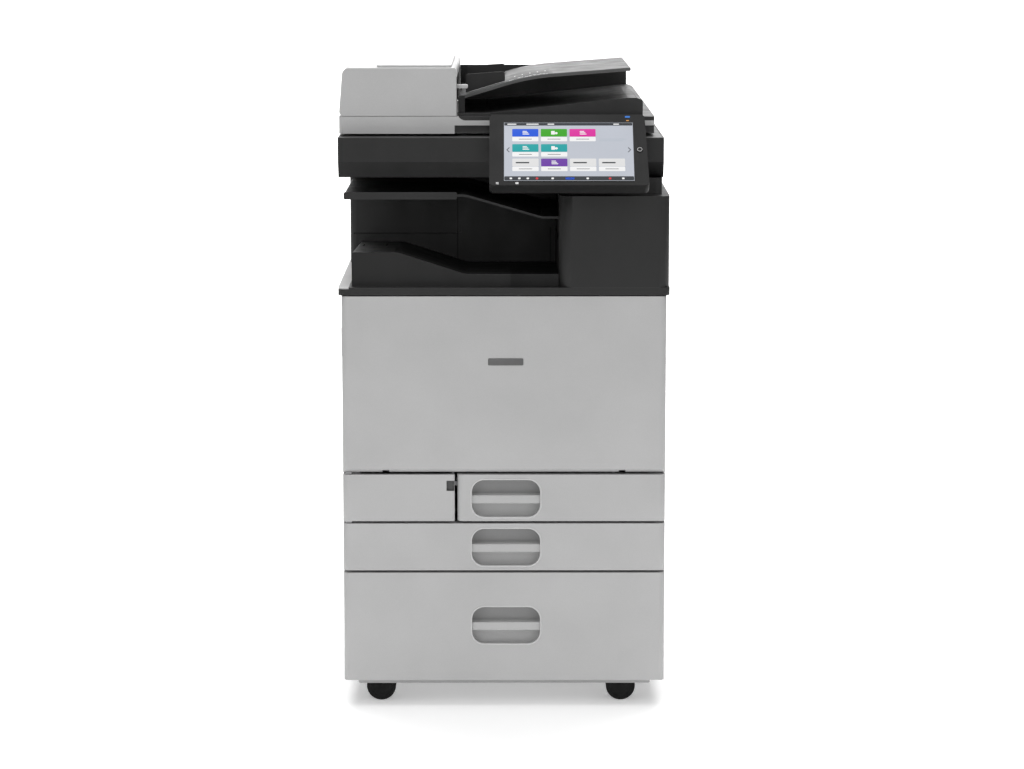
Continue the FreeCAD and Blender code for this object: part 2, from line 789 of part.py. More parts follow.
def power_switch():
    half_tall = d.rocker_height / 2
    half_wide = d.rocker_width / 2
    middle = (d.switch_front + d.switch_back) / 2
    x, z = switch_pivot
    rocker = prism(
        "XZ", middle - half_wide, middle + half_wide,
        [
            (x + 2.5, z - half_tall + 2), (x + 2.5, z + half_tall - 2),
            (x - 4.5, z + half_tall), (x - 3, z), (x - 4.5, z - half_tall),
        ],
    )
    pin = rod("Y", (x, d.switch_front - 1.6, z), 2, d.switch_back - d.switch_front + 3.2)
    node(fuse(rocker, pin), "power_switch")
    outer = -half - d.flap_proud
    flap = prism(
        "XZ", d.switch_front + 0.5, d.switch_back - 0.5,
        [
            (outer, d.switch_bottom - 3, 1.2), (-half - 0.3, d.switch_bottom - 3),
            (-half - 0.3, d.switch_top - 3), (outer, d.switch_top - 3, 1.2),
        ],
    )
    x, z = flap_pivot
    ears = []
    for low in (d.switch_front + 0.5, d.switch_back - 3.5):
        ears.append(box((-half - 0.6, low, z - 3), (x + 3, low + 3, z + 3)))
    for low in (d.switch_front - 1.6, d.switch_back - 3):
        ears.append(rod("Y", (x, low, z), 1.2, 4.6))
    node(fuse(flap, *ears), "power_switch_flap")


def right_cover():
    sheet_part = box((inner_half, inside_front + 2, d.body_bottom + 2), (half, cover_back, upper_high))
    shelf = box(
        (barrel_x - 7, barrel_y - 8, upper_high - 3), (half, cover_back, upper_high)
    )
    pin = rod("Z", (barrel_x, barrel_y, upper_high - 1), d.barrel_pin, 20)
    node(fuse(sheet_part, shelf, pin, *cover_studs(1, (150, 350))), "right_cover")


barrel_x = half - d.barrel
barrel_y = rear - d.barrel_back


def right_door():
    leaf = box((inner_half, inside_front + 2, door_low), (half, barrel_y, door_high))
    barrel = rod("Z", (barrel_x, barrel_y, door_low), d.barrel, d.door_height)
    inner = half - d.duplex_depth
    duplex_top = door_high - d.ring_height - 4
    duplex = box(
        (inner, front_posts[1] + 7, door_low + 4), (half - 1, rear_posts[0] - 10, duplex_top)
    )
    hollow = box(
        (inner + 3, front_posts[1] + 10, door_low + 7),
        (inner + 14, rear_posts[0] - 13, duplex_top - 3),
    )
    well = box(
        (half - d.bypass_thick - 1.5, d.bypass_front - 1, d.bypass_bottom - 1),
        (half + 1, d.bypass_back + 1, d.bypass_top + 1),
    )
    bores = [
        rod("Z", (barrel_x, barrel_y, door_low - 1), d.barrel_pin + d.run_gap, 18),
        rod("Z", (barrel_x, barrel_y, door_high - 18), d.barrel_pin + d.run_gap, 20),
        rod("Y", (bypass_pivot[0], d.bypass_front - 6, bypass_pivot[1]), 2 + d.run_gap,
            d.bypass_back - d.bypass_front + 12),
    ]
    latch = box((half - 2, inside_front + 12, 600), (half + 1, inside_front + 30, 660))
    node(cut(fuse(leaf, barrel, duplex), hollow, well, latch, *bores), "right_door")
    x, z = bypass_pivot
    tray = prism(
        "XZ", d.bypass_front, d.bypass_back,
        [
            (half - d.bypass_thick, d.bypass_bottom, 3.5), (half, d.bypass_bottom, 3.5),
            (half, d.bypass_top), (half - d.bypass_thick, d.bypass_top),
        ],
    )
    scoop = box((half - 3, -25, d.bypass_top - 14), (half + 1, 45, d.bypass_top + 1))
    pin = rod("Y", (x, d.bypass_front - 5, z), 2, d.bypass_back - d.bypass_front + 10)
    node(fuse(cut(tray, scoop), pin), "bypass_tray")


bypass_pivot = (half - d.bypass_thick / 2, d.bypass_bottom + 4)


def front_door():
    pan = prism(
        "XY", door_low, door_high,
        [
            (-half, front, d.corner_round), (half, front, d.corner_round),
            (half, inside_front), (-half, inside_front),
        ],
    )
    toe = prism(
        "YZ", -half - 1, half + 1,
        [
            (front - 1, door_low - 1), (front + d.hinge_round, door_low - 1),
            (front + d.hinge_round, door_low), (front, door_low + d.hinge_round),
            (front - 1, door_low + d.hinge_round),
        ],
    )
    wall = d.door_wall
    hollow = box(
        (wall - half, front + wall + 4, door_low + 26), (half - wall, inside_front + 1, door_high - wall)
    )
    cuts = [toe, hollow]
    for side in (-1, 1):
        x = d.lug_spread / 2 * side
        cuts.append(box(
            (x - d.lug_width / 2 - 1, front + 1.5, door_low - 1),
            (x + d.lug_width / 2 + 1, inside_front + 1, door_low + 22),
        ))
        cuts.append(rod(
            "X", (x - d.lug_width - 1, *lug_pivot), d.hinge_pin + d.run_gap, d.lug_width * 2 + 2
        ))
    node(cut(pan, *cuts), "front_door")


def rear_cover():
    low, high = d.body_bottom + 2, door_high
    face = prism(
        "XY", low, high,
        [
            (-half, rear - d.rear_pan), (half, rear - d.rear_pan),
            (half, rear, 8), (-half, rear, 8),
        ],
    )
    wall = d.cover_wall
    hollow = box(
        (-inner_half, rear - d.rear_pan - 1, low + wall), (inner_half, rear - wall, high - wall)
    )
    studs = []
    for x in (-post_in - d.post_size / 2, post_in + d.post_size / 2):
        for z in (150, 610):
            studs.append(box(
                (x - d.cover_stud / 2, rear_posts[1], z),
                (x + d.cover_stud / 2, rear - wall + 0.5, z + d.cover_stud),
            ))
    vents = []
    for row in range(9):
        for x_low in (-240, 90):
            z = 640 + row * 9
            vents.append(box((x_low, rear - wall - 1, z), (x_low + 150, rear + 1, z + 4)))
    socket = box(
        (inlet_x - d.seat_gap, rear - wall - 1, d.inlet_height - d.seat_gap),
        (inlet_x + d.inlet_width + d.seat_gap, rear + 1, d.inlet_height + d.inlet_tall + d.seat_gap),
    )
    node(cut(fuse(cut(face, hollow), *studs), *vents, socket), "rear_cover")


inlet_x = d.inlet_across - d.inlet_width / 2


def power_inlet():
    wall = d.cover_wall
    flange = box(
        (inlet_x - 7, rear - wall - 2, d.inlet_height - 3),
        (inlet_x + d.inlet_width + 7, rear - wall, d.inlet_height + d.inlet_tall + 3),
    )
    shell = box(
        (inlet_x, rear - 26, d.inlet_height),
        (inlet_x + d.inlet_width, rear, d.inlet_height + d.inlet_tall),
    )
    mouth = box(
        (inlet_x + 2, rear - 18, d.inlet_height + 2),
        (inlet_x + d.inlet_width - 2, rear + 1, d.inlet_height + d.inlet_tall - 2),
    )
    pins = []
    for across, up in ((-7, -2), (0, 3), (7, -2)):
        x = d.inlet_across + across
        z = d.inlet_height + d.inlet_tall / 2 + up
        pins.append(box((x - 1, rear - 19, z - 2), (x + 1, rear - 5, z + 2)))
    node(fuse(cut(fuse(flange, shell), mouth), *pins), "power_inlet")


def top_deck():
    reach = half + d.deck_overhang
    wall = d.cover_wall
    slab = prism("XY", deck_low, deck_high, rectangle(-reach, front, reach, rear, d.corner_round))
    hollow = box((wall - reach, front + wall, deck_low - 1), (reach - wall, rear - wall, deck_high - wall))
    path = box((222, -150, deck_low), (246, 230, deck_high + 1))
    boss = rod("Z", (barrel_x, barrel_y, deck_low), 5, d.deck_height - 1)
    pin = rod("Z", (barrel_x, barrel_y, door_high - 14), d.barrel_pin, d.deck_gap + 17)
    node(fuse(cut(slab, hollow, path), boss, pin), "top_deck")


# ---- exit tower and trays --------------------------------------------------------------------


def tower_outline(front_y, right, corner, inset):
    """The tower's plan: a block at the right and a wall along the back."""
    left = inset - d.tower_left
    return [
        (d.tower_front_left + inset, front_y + inset, d.tower_round - inset),
        (right - inset, front_y + inset, corner - inset),
        (right - inset, rear - inset, 8 - inset), (left, rear - inset, 8 - inset),
        (left, d.tower_rear_wall + inset, 12 - inset),
        (d.tower_front_left + inset, d.tower_rear_wall + inset),
    ]


def exit_tower():
    wall = d.cover_wall
    block_high = tower_high - d.tower_neck
    neck_front = d.scanner_front + 6
    neck_right = scan_right - 2
    block = prism("XY", deck_high, block_high, tower_outline(front, d.tower_right, 18, 0))
    neck = prism("XY", block_high - 1, tower_high, tower_outline(neck_front, neck_right, 12, 0))
    shell = fuse(block, neck)
    hollow = fuse(
        prism(
            "XY", deck_high - 1, block_high - wall, tower_outline(front, d.tower_right, 18, wall)
        ),
        prism(
            "XY", block_high - wall - 1, tower_high - wall,
            tower_outline(neck_front, neck_right, 12, wall),
        ),
    )
    slots = []
    for z in (deck_high + 70, d.bin_end + 13):
        slots.append(box(
            (d.tower_front_left - 1, d.exit_front, z),
            (d.tower_front_left + wall + 1, d.exit_back, z + d.exit_slot),
        ))
    # panel lines and latch slot on the rear wall of the tray space
    lines = [
        box((-90, d.tower_rear_wall - 1, 790), (-88.6, d.tower_rear_wall + 1, 905)),
        box((-290, d.tower_rear_wall - 1, 832), (-90, d.tower_rear_wall + 1, 833.4)),
        box((-92, d.tower_rear_wall - 1, 834), (-82, d.tower_rear_wall + 1.5, 858)),
    ]
    node(cut(shell, hollow, *slots, *lines), "exit_tower")


def tray_profile(inset):
    """Outline of the output tray: a high shelf, a soft step and a low trough."""
    low = deck_high - 1 if inset else deck_high
    left = d.tray_left + inset
    right = d.tower_front_left - d.seat_gap - inset
    crest = deck_high + d.tray_high - inset
    foot = deck_high + d.tray_low - inset
    return [
        (left, low), (right, low), (right, foot), (d.tray_foot, foot, d.tray_round),
        (d.tray_crest, crest, d.tray_round), (left, crest, 3),
    ]


def sloping_prism(low, high, corners):
    """A prism along Y that falls away towards the rear."""
    body = doc.addObject("PartDesign::Body", "body")
    sketch = new_sketch(body, "XZ", -size(low))
    loop(sketch, corners)
    pad = body.newObject("PartDesign::Pad", "pad")
    pad.Profile = sketch
    pad.UseCustomVector = True
    pad.Direction = FreeCAD.Vector(0, 1, -d.tray_fall.value)
    pad.AlongSketchNormal = True
    bind(pad, "Length", size(high) - low)
    return body


def output_tray():
    wall = d.tray_wall
    back = d.tower_rear_wall - d.seat_gap
    outer = sloping_prism(d.tray_front, back, tray_profile(0))
    inner = sloping_prism(d.tray_front + wall, back - wall, tray_profile(wall))
    below = box((-320, d.tray_front - 20, deck_high - 80), (200, back + 20, deck_high))
    fence_well = box(
        (fence_x - 2, fence_y - 1, fence_z - 2), (fence_x + 43, fence_y + 61, fence_z + 40)
    )
    well_wall = box(
        (fence_x - 5, fence_y - 4, fence_z - 5), (fence_x + 46, fence_y + 64, fence_z + 40)
    )
    bore = rod("Y", (fence_x + 3, fence_y - 2.5, fence_z + 3), 1.5 + d.run_gap, 65)
    solid = fuse(cut(outer, inner), common(well_wall, outer))
    node(cut(solid, below, fence_well, bore), "output_tray")
    fence = prism(
        "YZ", fence_x, fence_x + 41,
        rectangle(fence_y, fence_z, fence_y + 60, fence_z + 6, 1.5),
    )
    pin = rod("Y", (fence_x + 3, fence_y - 2.3, fence_z + 3), 1.5, 64.6)
    node(fuse(fence, pin), "output_stop_fence")


fence_x = d.tray_left + 12
fence_y = d.fence_front
fence_z = deck_high + d.tray_high - 21


def one_bin_tray():
    back = d.tower_rear_wall
    end = d.tower_front_left
    thick = d.bin_thick
    plate = prism(
        "XZ", d.bin_front, back,
        [
            (d.bin_left, d.bin_height, 1.5), (d.bin_bend, d.bin_height, 60),
            (end - 30, d.bin_end, 20), (end, d.bin_end),
            (end, d.bin_end - thick), (end - 30, d.bin_end - thick, 20 + thick),
            (d.bin_bend, d.bin_height - thick, 60 - thick), (d.bin_left, d.bin_height - thick, 1.5),
        ],
    )
    rim = prism(
        "XZ", d.bin_front - 1, d.bin_front + 4,
        rectangle(d.bin_left, d.bin_height - d.bin_rim + 4, d.bin_bend - 15, d.bin_height + 4, 3),
    )
    node(fuse(plate, rim), "one_bin_tray")


# ---- scanner ---------------------------------------------------------------------------------

lid_low = scanner_high - d.lid_thick


def scanner_base():
    wall = d.cover_wall
    crease = tower_high + d.scanner_crease
    outer = prism(
        "YZ", scan_left, scan_right,
        [
            (d.scanner_front + d.scanner_tuck, tower_high), (d.scanner_rear, tower_high, 4),
            (d.scanner_rear, scanner_high), (d.scanner_front, scanner_high, 1.5),
            (d.scanner_front, crease),
        ],
    )
    ledge = d.lid_ledge
    inner = prism(
        "YZ", scan_left + ledge, scan_right - ledge,
        [
            (d.scanner_front + d.scanner_tuck + ledge, tower_high + wall),
            (d.scanner_rear - ledge, tower_high + wall), (d.scanner_rear - ledge, lid_low + 1),
            (d.scanner_front + ledge, lid_low + 1), (d.scanner_front + ledge, crease),
        ],
    )
    mouth = box(
        (scan_left + wall, d.scanner_front + wall, lid_low),
        (scan_right - wall, d.scanner_rear - wall, scanner_high + 1),
    )
    rails = [
        box(
            (scan_left + ledge - 1, y, tower_high + 1),
            (scan_right - ledge + 1, y + 8, carriage_low - d.seat_gap),
        )
        for y in (d.glass_front + 14, d.glass_back - 22)
    ]
    node(fuse(cut(outer, inner, mouth), *rails), "scanner_base")


carriage_low = tower_high + 34


def scanner_top():
    wall = d.cover_wall + d.seat_gap
    lid = box(
        (scan_left + wall, d.scanner_front + wall, lid_low),
        (scan_right - wall, d.scanner_rear - wall, scanner_high),
    )
    cuts = []
    panes = []
    for x_low, x_high in ((d.glass_left, d.glass_right), (d.strip_left, d.strip_right)):
        cuts.append(box(
            (x_low, d.glass_front, scanner_high - d.glass_thick),
            (x_high, d.glass_back, scanner_high + 1),
        ))
        cuts.append(box(
            (x_low + 4, d.glass_front + 4, lid_low - 1), (x_high - 4, d.glass_back - 4, scanner_high)
        ))
        panes.append(box(
            (x_low + d.seat_gap, d.glass_front + d.seat_gap, scanner_high - d.glass_thick),
            (x_high - d.seat_gap, d.glass_back - d.seat_gap, scanner_high - 0.1),
        ))
    posts = []
    for x in HINGES:
        foot = box(
            (x - 14, d.feeder_hinge - 8, scanner_high - 1), (x + 14, d.feeder_hinge + 30, scanner_high + 3)
        )
        post = box(
            (x - 14, d.feeder_hinge - 6, scanner_high), (x + 14, d.feeder_hinge + 6, hinge_z)
        )
        head = rod("X", (x - 14, d.feeder_hinge, hinge_z), 6, 28)
        pin = rod("X", (x - 24, d.feeder_hinge, hinge_z), 3, 48)
        posts.extend((foot, post, head, pin))
    node(fuse(cut(lid, *cuts), *posts), "scanner_top")
    node(group(*panes), "platen_glass")


HINGES = (-230, 190)
hinge_z = feeder_low + 12


def scan_carriage():
    body = prism(
        "XZ", d.glass_front + 6, d.glass_back - 6,
        rectangle(
            d.carriage_left, carriage_low,
            d.carriage_left + d.carriage_width, carriage_low + d.carriage_height, 2,
        ),
    )
    slit = box(
        (d.carriage_left + 18, d.glass_front + 16, carriage_low + 12),
        (d.carriage_left + 24, d.glass_back - 16, carriage_low + d.carriage_height + 1),
    )
    node(cut(body, slit), "scan_carriage")


# ---- document feeder -------------------------------------------------------------------------

roller_x = d.block_right - 40
roller_z = band_high + 34


def feeder_base():
    wall = d.cover_wall
    band = prism(
        "XY", feeder_low, band_high,
        rectangle(d.feeder_left, d.feeder_front, d.feeder_right, d.feeder_rear, 8),
    )
    hollow = box(
        (d.feeder_left + wall, d.feeder_front + 24, feeder_low - 1),
        (d.feeder_right - wall, d.feeder_rear - wall, band_high - wall),
    )
    hem = box(
        (d.block_right - 3, d.feeder_front - 1, feeder_low - 1),
        (d.feeder_right + 1, d.feeder_front + 16, feeder_low + d.hem),
    )
    out = prism(
        "XZ", d.out_front, d.out_back,
        [
            (d.block_right + 1.5, band_high - 1), (d.out_right, band_high - 1),
            (d.out_right, band_high + d.out_high - 4, 3), (d.out_crest + 16, band_high + d.out_high, 6),
            (d.out_crest, band_high + d.out_high), (-30, band_high + d.out_low, 80),
            (d.block_right + 1.5, band_high + d.out_low),
        ],
    )
    under = prism(
        "XZ", d.out_front + wall, d.out_back - wall,
        [
            (0, band_high - wall - 1), (d.out_right - wall, band_high - wall - 1),
            (d.out_right - wall, band_high + d.out_high - 8),
            (d.out_crest, band_high + d.out_high - wall - 1), (0, band_high - wall + 1),
        ],
    )
    ribs = [
        box((x, d.feeder_front + 23, feeder_low + 1), (x + 3, d.feeder_rear - 2, band_high - 2))
        for x in (-150, -20, 110)
    ]
    back_wall = box(
        (d.in_left - 3, d.in_back + 10, band_high - 1),
        (d.in_right + 8, d.in_back + 10 + wall, band_high + d.back_wall),
    )
    ears = [back_wall]
    for low in (d.in_front - 8, d.in_back + 1):
        ears.append(box((d.in_left - 3, low, band_high - 1), (d.in_left + 9, low + 7, in_pivot[1] + 5)))
    for low in (d.in_front - 8, d.in_back - 8):
        ears.append(rod("Y", (in_pivot[0], low, in_pivot[1]), 2, 16))
    for y in (-60, 100):
        roller_post = box((roller_x - 8, y, band_high - 1), (roller_x + 8, y + 6, roller_z + 8))
        bore = rod("Y", (roller_x, y - 1, roller_z), 3 + d.run_gap, 8)
        ears.append(cut(roller_post, bore))
    pin_x, pin_z = block_pivot
    post_x = pin_x + d.ear_stand
    for low in (d.feeder_front + 8, d.feeder_rear - 14):
        ears.append(box((post_x, low, band_high - 1), (post_x + 7, low + 6, pin_z + 3)))
        ears.append(box((pin_x - 3, low, pin_z - 3), (post_x + 7, low + 6, pin_z + 3)))
    for low in (d.feeder_front + 1, d.feeder_rear - 10):
        ears.append(rod("Y", (block_pivot[0], low, block_pivot[1]), 2, 9))
    for x in HINGES:
        for side in (-1, 1):
            x_low = size(x) + 15 if side > 0 else size(x) - 24
            arm = box(
                (x_low, d.feeder_rear - 1, feeder_low + 3), (x_low + 9, d.feeder_hinge, hinge_z + 8)
            )
            knuckle = rod("X", (x_low, d.feeder_hinge, hinge_z), 8, 9)
            bore = rod("X", (x_low - 1, d.feeder_hinge, hinge_z), 3 + d.run_gap, 11)
            ears.append(cut(fuse(arm, knuckle), bore))
    node(fuse(cut(fuse(band, out), hollow, hem, under), *ribs, *ears), "feeder_base")
    pad = prism(
        "XY", feeder_low + 1 - d.pad_thick - 1, feeder_low + 1,
        rectangle(d.glass_left - 6, d.pad_front, d.glass_right + 6, d.pad_back, 4),
    )
    node(pad, "platen_pad")


block_pivot = (d.feeder_left + d.block_round, band_high + 1 + d.block_round)
in_pivot = (d.in_left + 3, band_high + d.in_low - d.in_thick / 2)


def feeder_cover():
    wall = d.cover_wall
    low = band_high + 1
    outline = [
        (d.feeder_left, low, d.block_round), (d.block_right, low),
        (d.block_right, feeder_high, 6), (d.feeder_left + d.block_draft, feeder_high, 12),
    ]
    shell = prism("XZ", d.feeder_front, d.feeder_rear, outline)
    bump = prism(
        "XY", feeder_high - 2, feeder_high + d.bump_height,
        rectangle(-230, d.feeder_front + 20, -95, d.feeder_rear - 30, 10),
    )
    hollow = prism(
        "XZ", d.feeder_front + wall, d.feeder_rear - wall,
        [
            (d.feeder_left + wall, low - 1), (d.block_right - wall, low - 1),
            (d.block_right - wall, feeder_high - wall, 4),
            (d.feeder_left + d.block_draft + wall, feeder_high - wall, 9),
        ],
    )
    mouth = box(
        (d.block_right - wall - 1, d.in_front + 5, low - 2),
        (d.block_right + 1, d.in_back - 5, feeder_high - 18),
    )
    bores = [
        rod("Y", (block_pivot[0], low_y, block_pivot[1]), 2 + d.run_gap, 5)
        for low_y in (d.feeder_front + 0.8, d.feeder_rear - 5.8)
    ]
    node(cut(fuse(shell, bump), hollow, mouth, *bores), "feeder_cover")


def feed_roller():
    core = rod("Y", (roller_x, -62, roller_z), 3, 170)
    tyres = [
        rod("Y", (roller_x, y, roller_z), d.feed_roller, 24) for y in (-40, 8, 60)
    ]
    node(fuse(core, *tyres), "feed_roller")


def input_tray():
    top = [
        (d.in_left, band_high + d.in_low), (d.in_bend, band_high + d.in_mid, d.in_round),
        (d.in_right, band_high + d.in_high, 2),
    ]
    bottom = [
        (d.in_right, band_high + d.in_high - d.in_thick, 2),
        (d.in_bend, band_high + d.in_mid - d.in_thick, d.in_round),
        (d.in_left, band_high + d.in_low - d.in_thick, 2.5),
    ]
    plate = prism("XZ", d.in_front, d.in_back, top + bottom)
    bores = [
        rod("Y", (in_pivot[0], low, in_pivot[1]), 2 + d.run_gap, 10)
        for low in (d.in_front - 1, d.in_back - 9)
    ]
    node(cut(plate, *bores), "feeder_input_tray")
    for label, y in (("front", d.guide_front), ("rear", d.guide_back)):
        rise = (d.in_mid - d.in_low) / (d.in_bend - d.in_left)
        start = d.in_left + 10
        near = band_high + d.in_low + rise * 10 + d.seat_gap + 0.4
        far = band_high + d.in_low + rise * (d.guide_right - d.in_left) + d.seat_gap + 0.4
        fence = prism(
            "XZ", y - d.guide_thick / 2, y + d.guide_thick / 2,
            [
                (start, near), (d.guide_right, far), (d.guide_right, far + 17, 5),
                (start, near + 34, 3),
            ],
        )
        node(fence, label + "_paper_guide")


# ---- operation panel -------------------------------------------------------------------------


def lean(part):
    """Set a piece that is drawn flat, with level 0 as its face, onto the leaning panel."""
    part.Placement.Rotation = FreeCAD.Rotation(FreeCAD.Vector(1, 0, 0), 90 - d.panel_lean.value)
    bind(part, "Placement.Rotation.Angle", 90 - d.panel_lean)
    return place(part, (d.panel_centre, front - d.panel_reach, d.panel_low))


def control_panel():
    low = size(0.001)
    slab = prism(
        "XY", -d.panel_thick, low,
        [
            (d.panel_left, low, d.panel_round), (d.panel_right, low, d.panel_round),
            (d.panel_right - d.panel_taper, d.panel_face, d.panel_round),
            (d.panel_left, d.panel_face, d.panel_round),
        ],
    )
    well = box(
        (d.screen_left, d.screen_low, -d.screen_thick), (d.screen_right, d.screen_high, 1)
    )
    button_well = rod(
        "Z", (d.button_across, d.button_up, -8), d.button_radius + 0.3, 10
    )
    flat = lean(cut(slab, well, button_well))
    ears = []
    for x_low in (d.panel_centre - d.arm_half - 1 - d.arm_ear, d.panel_centre + d.arm_half + 1):
        ear = prism(
            "YZ", x_low, x_low + d.arm_ear,
            [
                (d.arm_pivot_y - 7, d.arm_pivot_z - 4), (d.arm_pivot_y + 5, d.arm_pivot_z - 6),
                (d.arm_pivot_y + 7, d.arm_pivot_z + 3), (d.arm_pivot_y - 4, d.arm_pivot_z + 15),
                (d.arm_pivot_y - 18, d.arm_pivot_z + 1),
            ],
        )
        barrel = rod("X", (x_low, d.arm_pivot_y, d.arm_pivot_z), d.arm_barrel, d.arm_ear)
        ears.append(fuse(ear, barrel))
    bore = rod(
        "X", (d.panel_centre - d.arm_half - 20, d.arm_pivot_y, d.arm_pivot_z),
        d.arm_pin + d.run_gap, d.arm_half * 2 + 40,
    )
    node(fuse(flat, cut(fuse(*ears), bore)), "control_panel")
    glass = box(
        (d.screen_left + 0.2, d.screen_low + 0.2, -d.screen_thick),
        (d.screen_right - 0.2, d.screen_high - 0.2, -0.1),
    )
    node(lean(group(glass)), "panel_screen")
    button = rod("Z", (d.button_across, d.button_up, -5), d.button_radius, 6)
    node(lean(group(button)), "home_button")


def panel_arm():
    wedge = prism(
        "YZ", d.panel_centre - d.arm_half, d.panel_centre + d.arm_half,
        [
            (d.arm_pivot_y + 1, d.arm_pivot_z - 7), (d.scanner_front, tower_high + 31),
            (d.scanner_front, tower_high + 48), (d.arm_pivot_y + 1, d.arm_pivot_z + 7),
        ],
    )
    barrel = rod(
        "X", (d.panel_centre - d.arm_half, d.arm_pivot_y, d.arm_pivot_z),
        d.arm_barrel, d.arm_half * 2,
    )
    pin = rod(
        "X", (d.panel_centre - d.arm_half - d.arm_ear, d.arm_pivot_y, d.arm_pivot_z),
        d.arm_pin, d.arm_half * 2 + d.arm_ear * 2,
    )
    node(fuse(wedge, barrel, pin), "panel_arm")


# ---- the whole machine -----------------------------------------------------------------------

base_plate()
for name, (side, y) in CASTERS.items():
    caster(name, side, y)
main_frame()
drawers()
waste_toner_door()
print_engine()
fuser()
for index in range(4):
    toner_bottle(index)
controller_box()
left_cover()
power_switch()
right_cover()
right_door()
front_door()
rear_cover()
power_inlet()
top_deck()
exit_tower()
output_tray()
one_bin_tray()
scanner_base()
scanner_top()
scan_carriage()
feeder_base()
feeder_cover()
feed_roller()
input_tray()
panel_arm()
control_panel()

doc.recompute()

faults = [
    f"{part.Name} ({part.Label}) {part.State}"
    for part in doc.Objects
    if {"Invalid", "Error"} & set(part.State)
]
for part in nodes:
    if part.Shape.isNull() or not part.Shape.isValid():
        faults.append(f"{part.Label}: shape is null or not valid")
if faults:
    raise RuntimeError("; ".join(faults))

for part in nodes:
    part.Shape.exportStep(f"parts/{part.Label}.step")
print(len(nodes), "sub-parts written")
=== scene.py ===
import math

import bmesh
import bpy
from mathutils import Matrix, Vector


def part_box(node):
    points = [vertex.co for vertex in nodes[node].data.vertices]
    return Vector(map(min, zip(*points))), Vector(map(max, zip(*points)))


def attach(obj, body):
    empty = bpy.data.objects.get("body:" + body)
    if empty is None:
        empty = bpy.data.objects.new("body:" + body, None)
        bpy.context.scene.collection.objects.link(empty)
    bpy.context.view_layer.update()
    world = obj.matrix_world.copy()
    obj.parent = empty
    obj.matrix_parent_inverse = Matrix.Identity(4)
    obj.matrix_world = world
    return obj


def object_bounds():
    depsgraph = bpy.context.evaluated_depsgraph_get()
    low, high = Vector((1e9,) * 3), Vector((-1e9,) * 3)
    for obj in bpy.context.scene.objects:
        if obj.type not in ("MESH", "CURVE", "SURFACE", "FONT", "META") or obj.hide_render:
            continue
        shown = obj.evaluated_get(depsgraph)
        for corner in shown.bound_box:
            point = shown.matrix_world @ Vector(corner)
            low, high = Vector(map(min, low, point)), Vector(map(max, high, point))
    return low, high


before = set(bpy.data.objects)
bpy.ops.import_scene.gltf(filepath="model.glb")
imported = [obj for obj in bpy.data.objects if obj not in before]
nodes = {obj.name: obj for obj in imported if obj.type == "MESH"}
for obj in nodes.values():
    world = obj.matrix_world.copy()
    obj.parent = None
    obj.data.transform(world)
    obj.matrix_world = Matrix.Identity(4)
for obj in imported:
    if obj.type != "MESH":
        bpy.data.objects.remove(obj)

# The photocopier's looks: every CAD node keeps its shape and gets a moulded, metal, rubber or glass
# finish, and the trim, screen content, screws, labels and paper fences are built here as meshes.
# Metres, in the frame's own axes: +Z up, the front towards -Y.

cad_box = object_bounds()
MM = 0.001


# ---- finishes ----------------------------------------------------------------------------------


def grey(level, tint=(1.0, 1.0, 1.0)):
    """Linear colour of a display grey from 0 to 255."""
    share = level / 255
    linear = share / 12.92 if share <= 0.04045 else ((share + 0.055) / 1.055) ** 2.4
    return (linear * tint[0], linear * tint[1], linear * tint[2], 1.0)


def shade(colour, factor):
    return tuple(min(1.0, channel * factor) for channel in colour[:3]) + (1.0,)


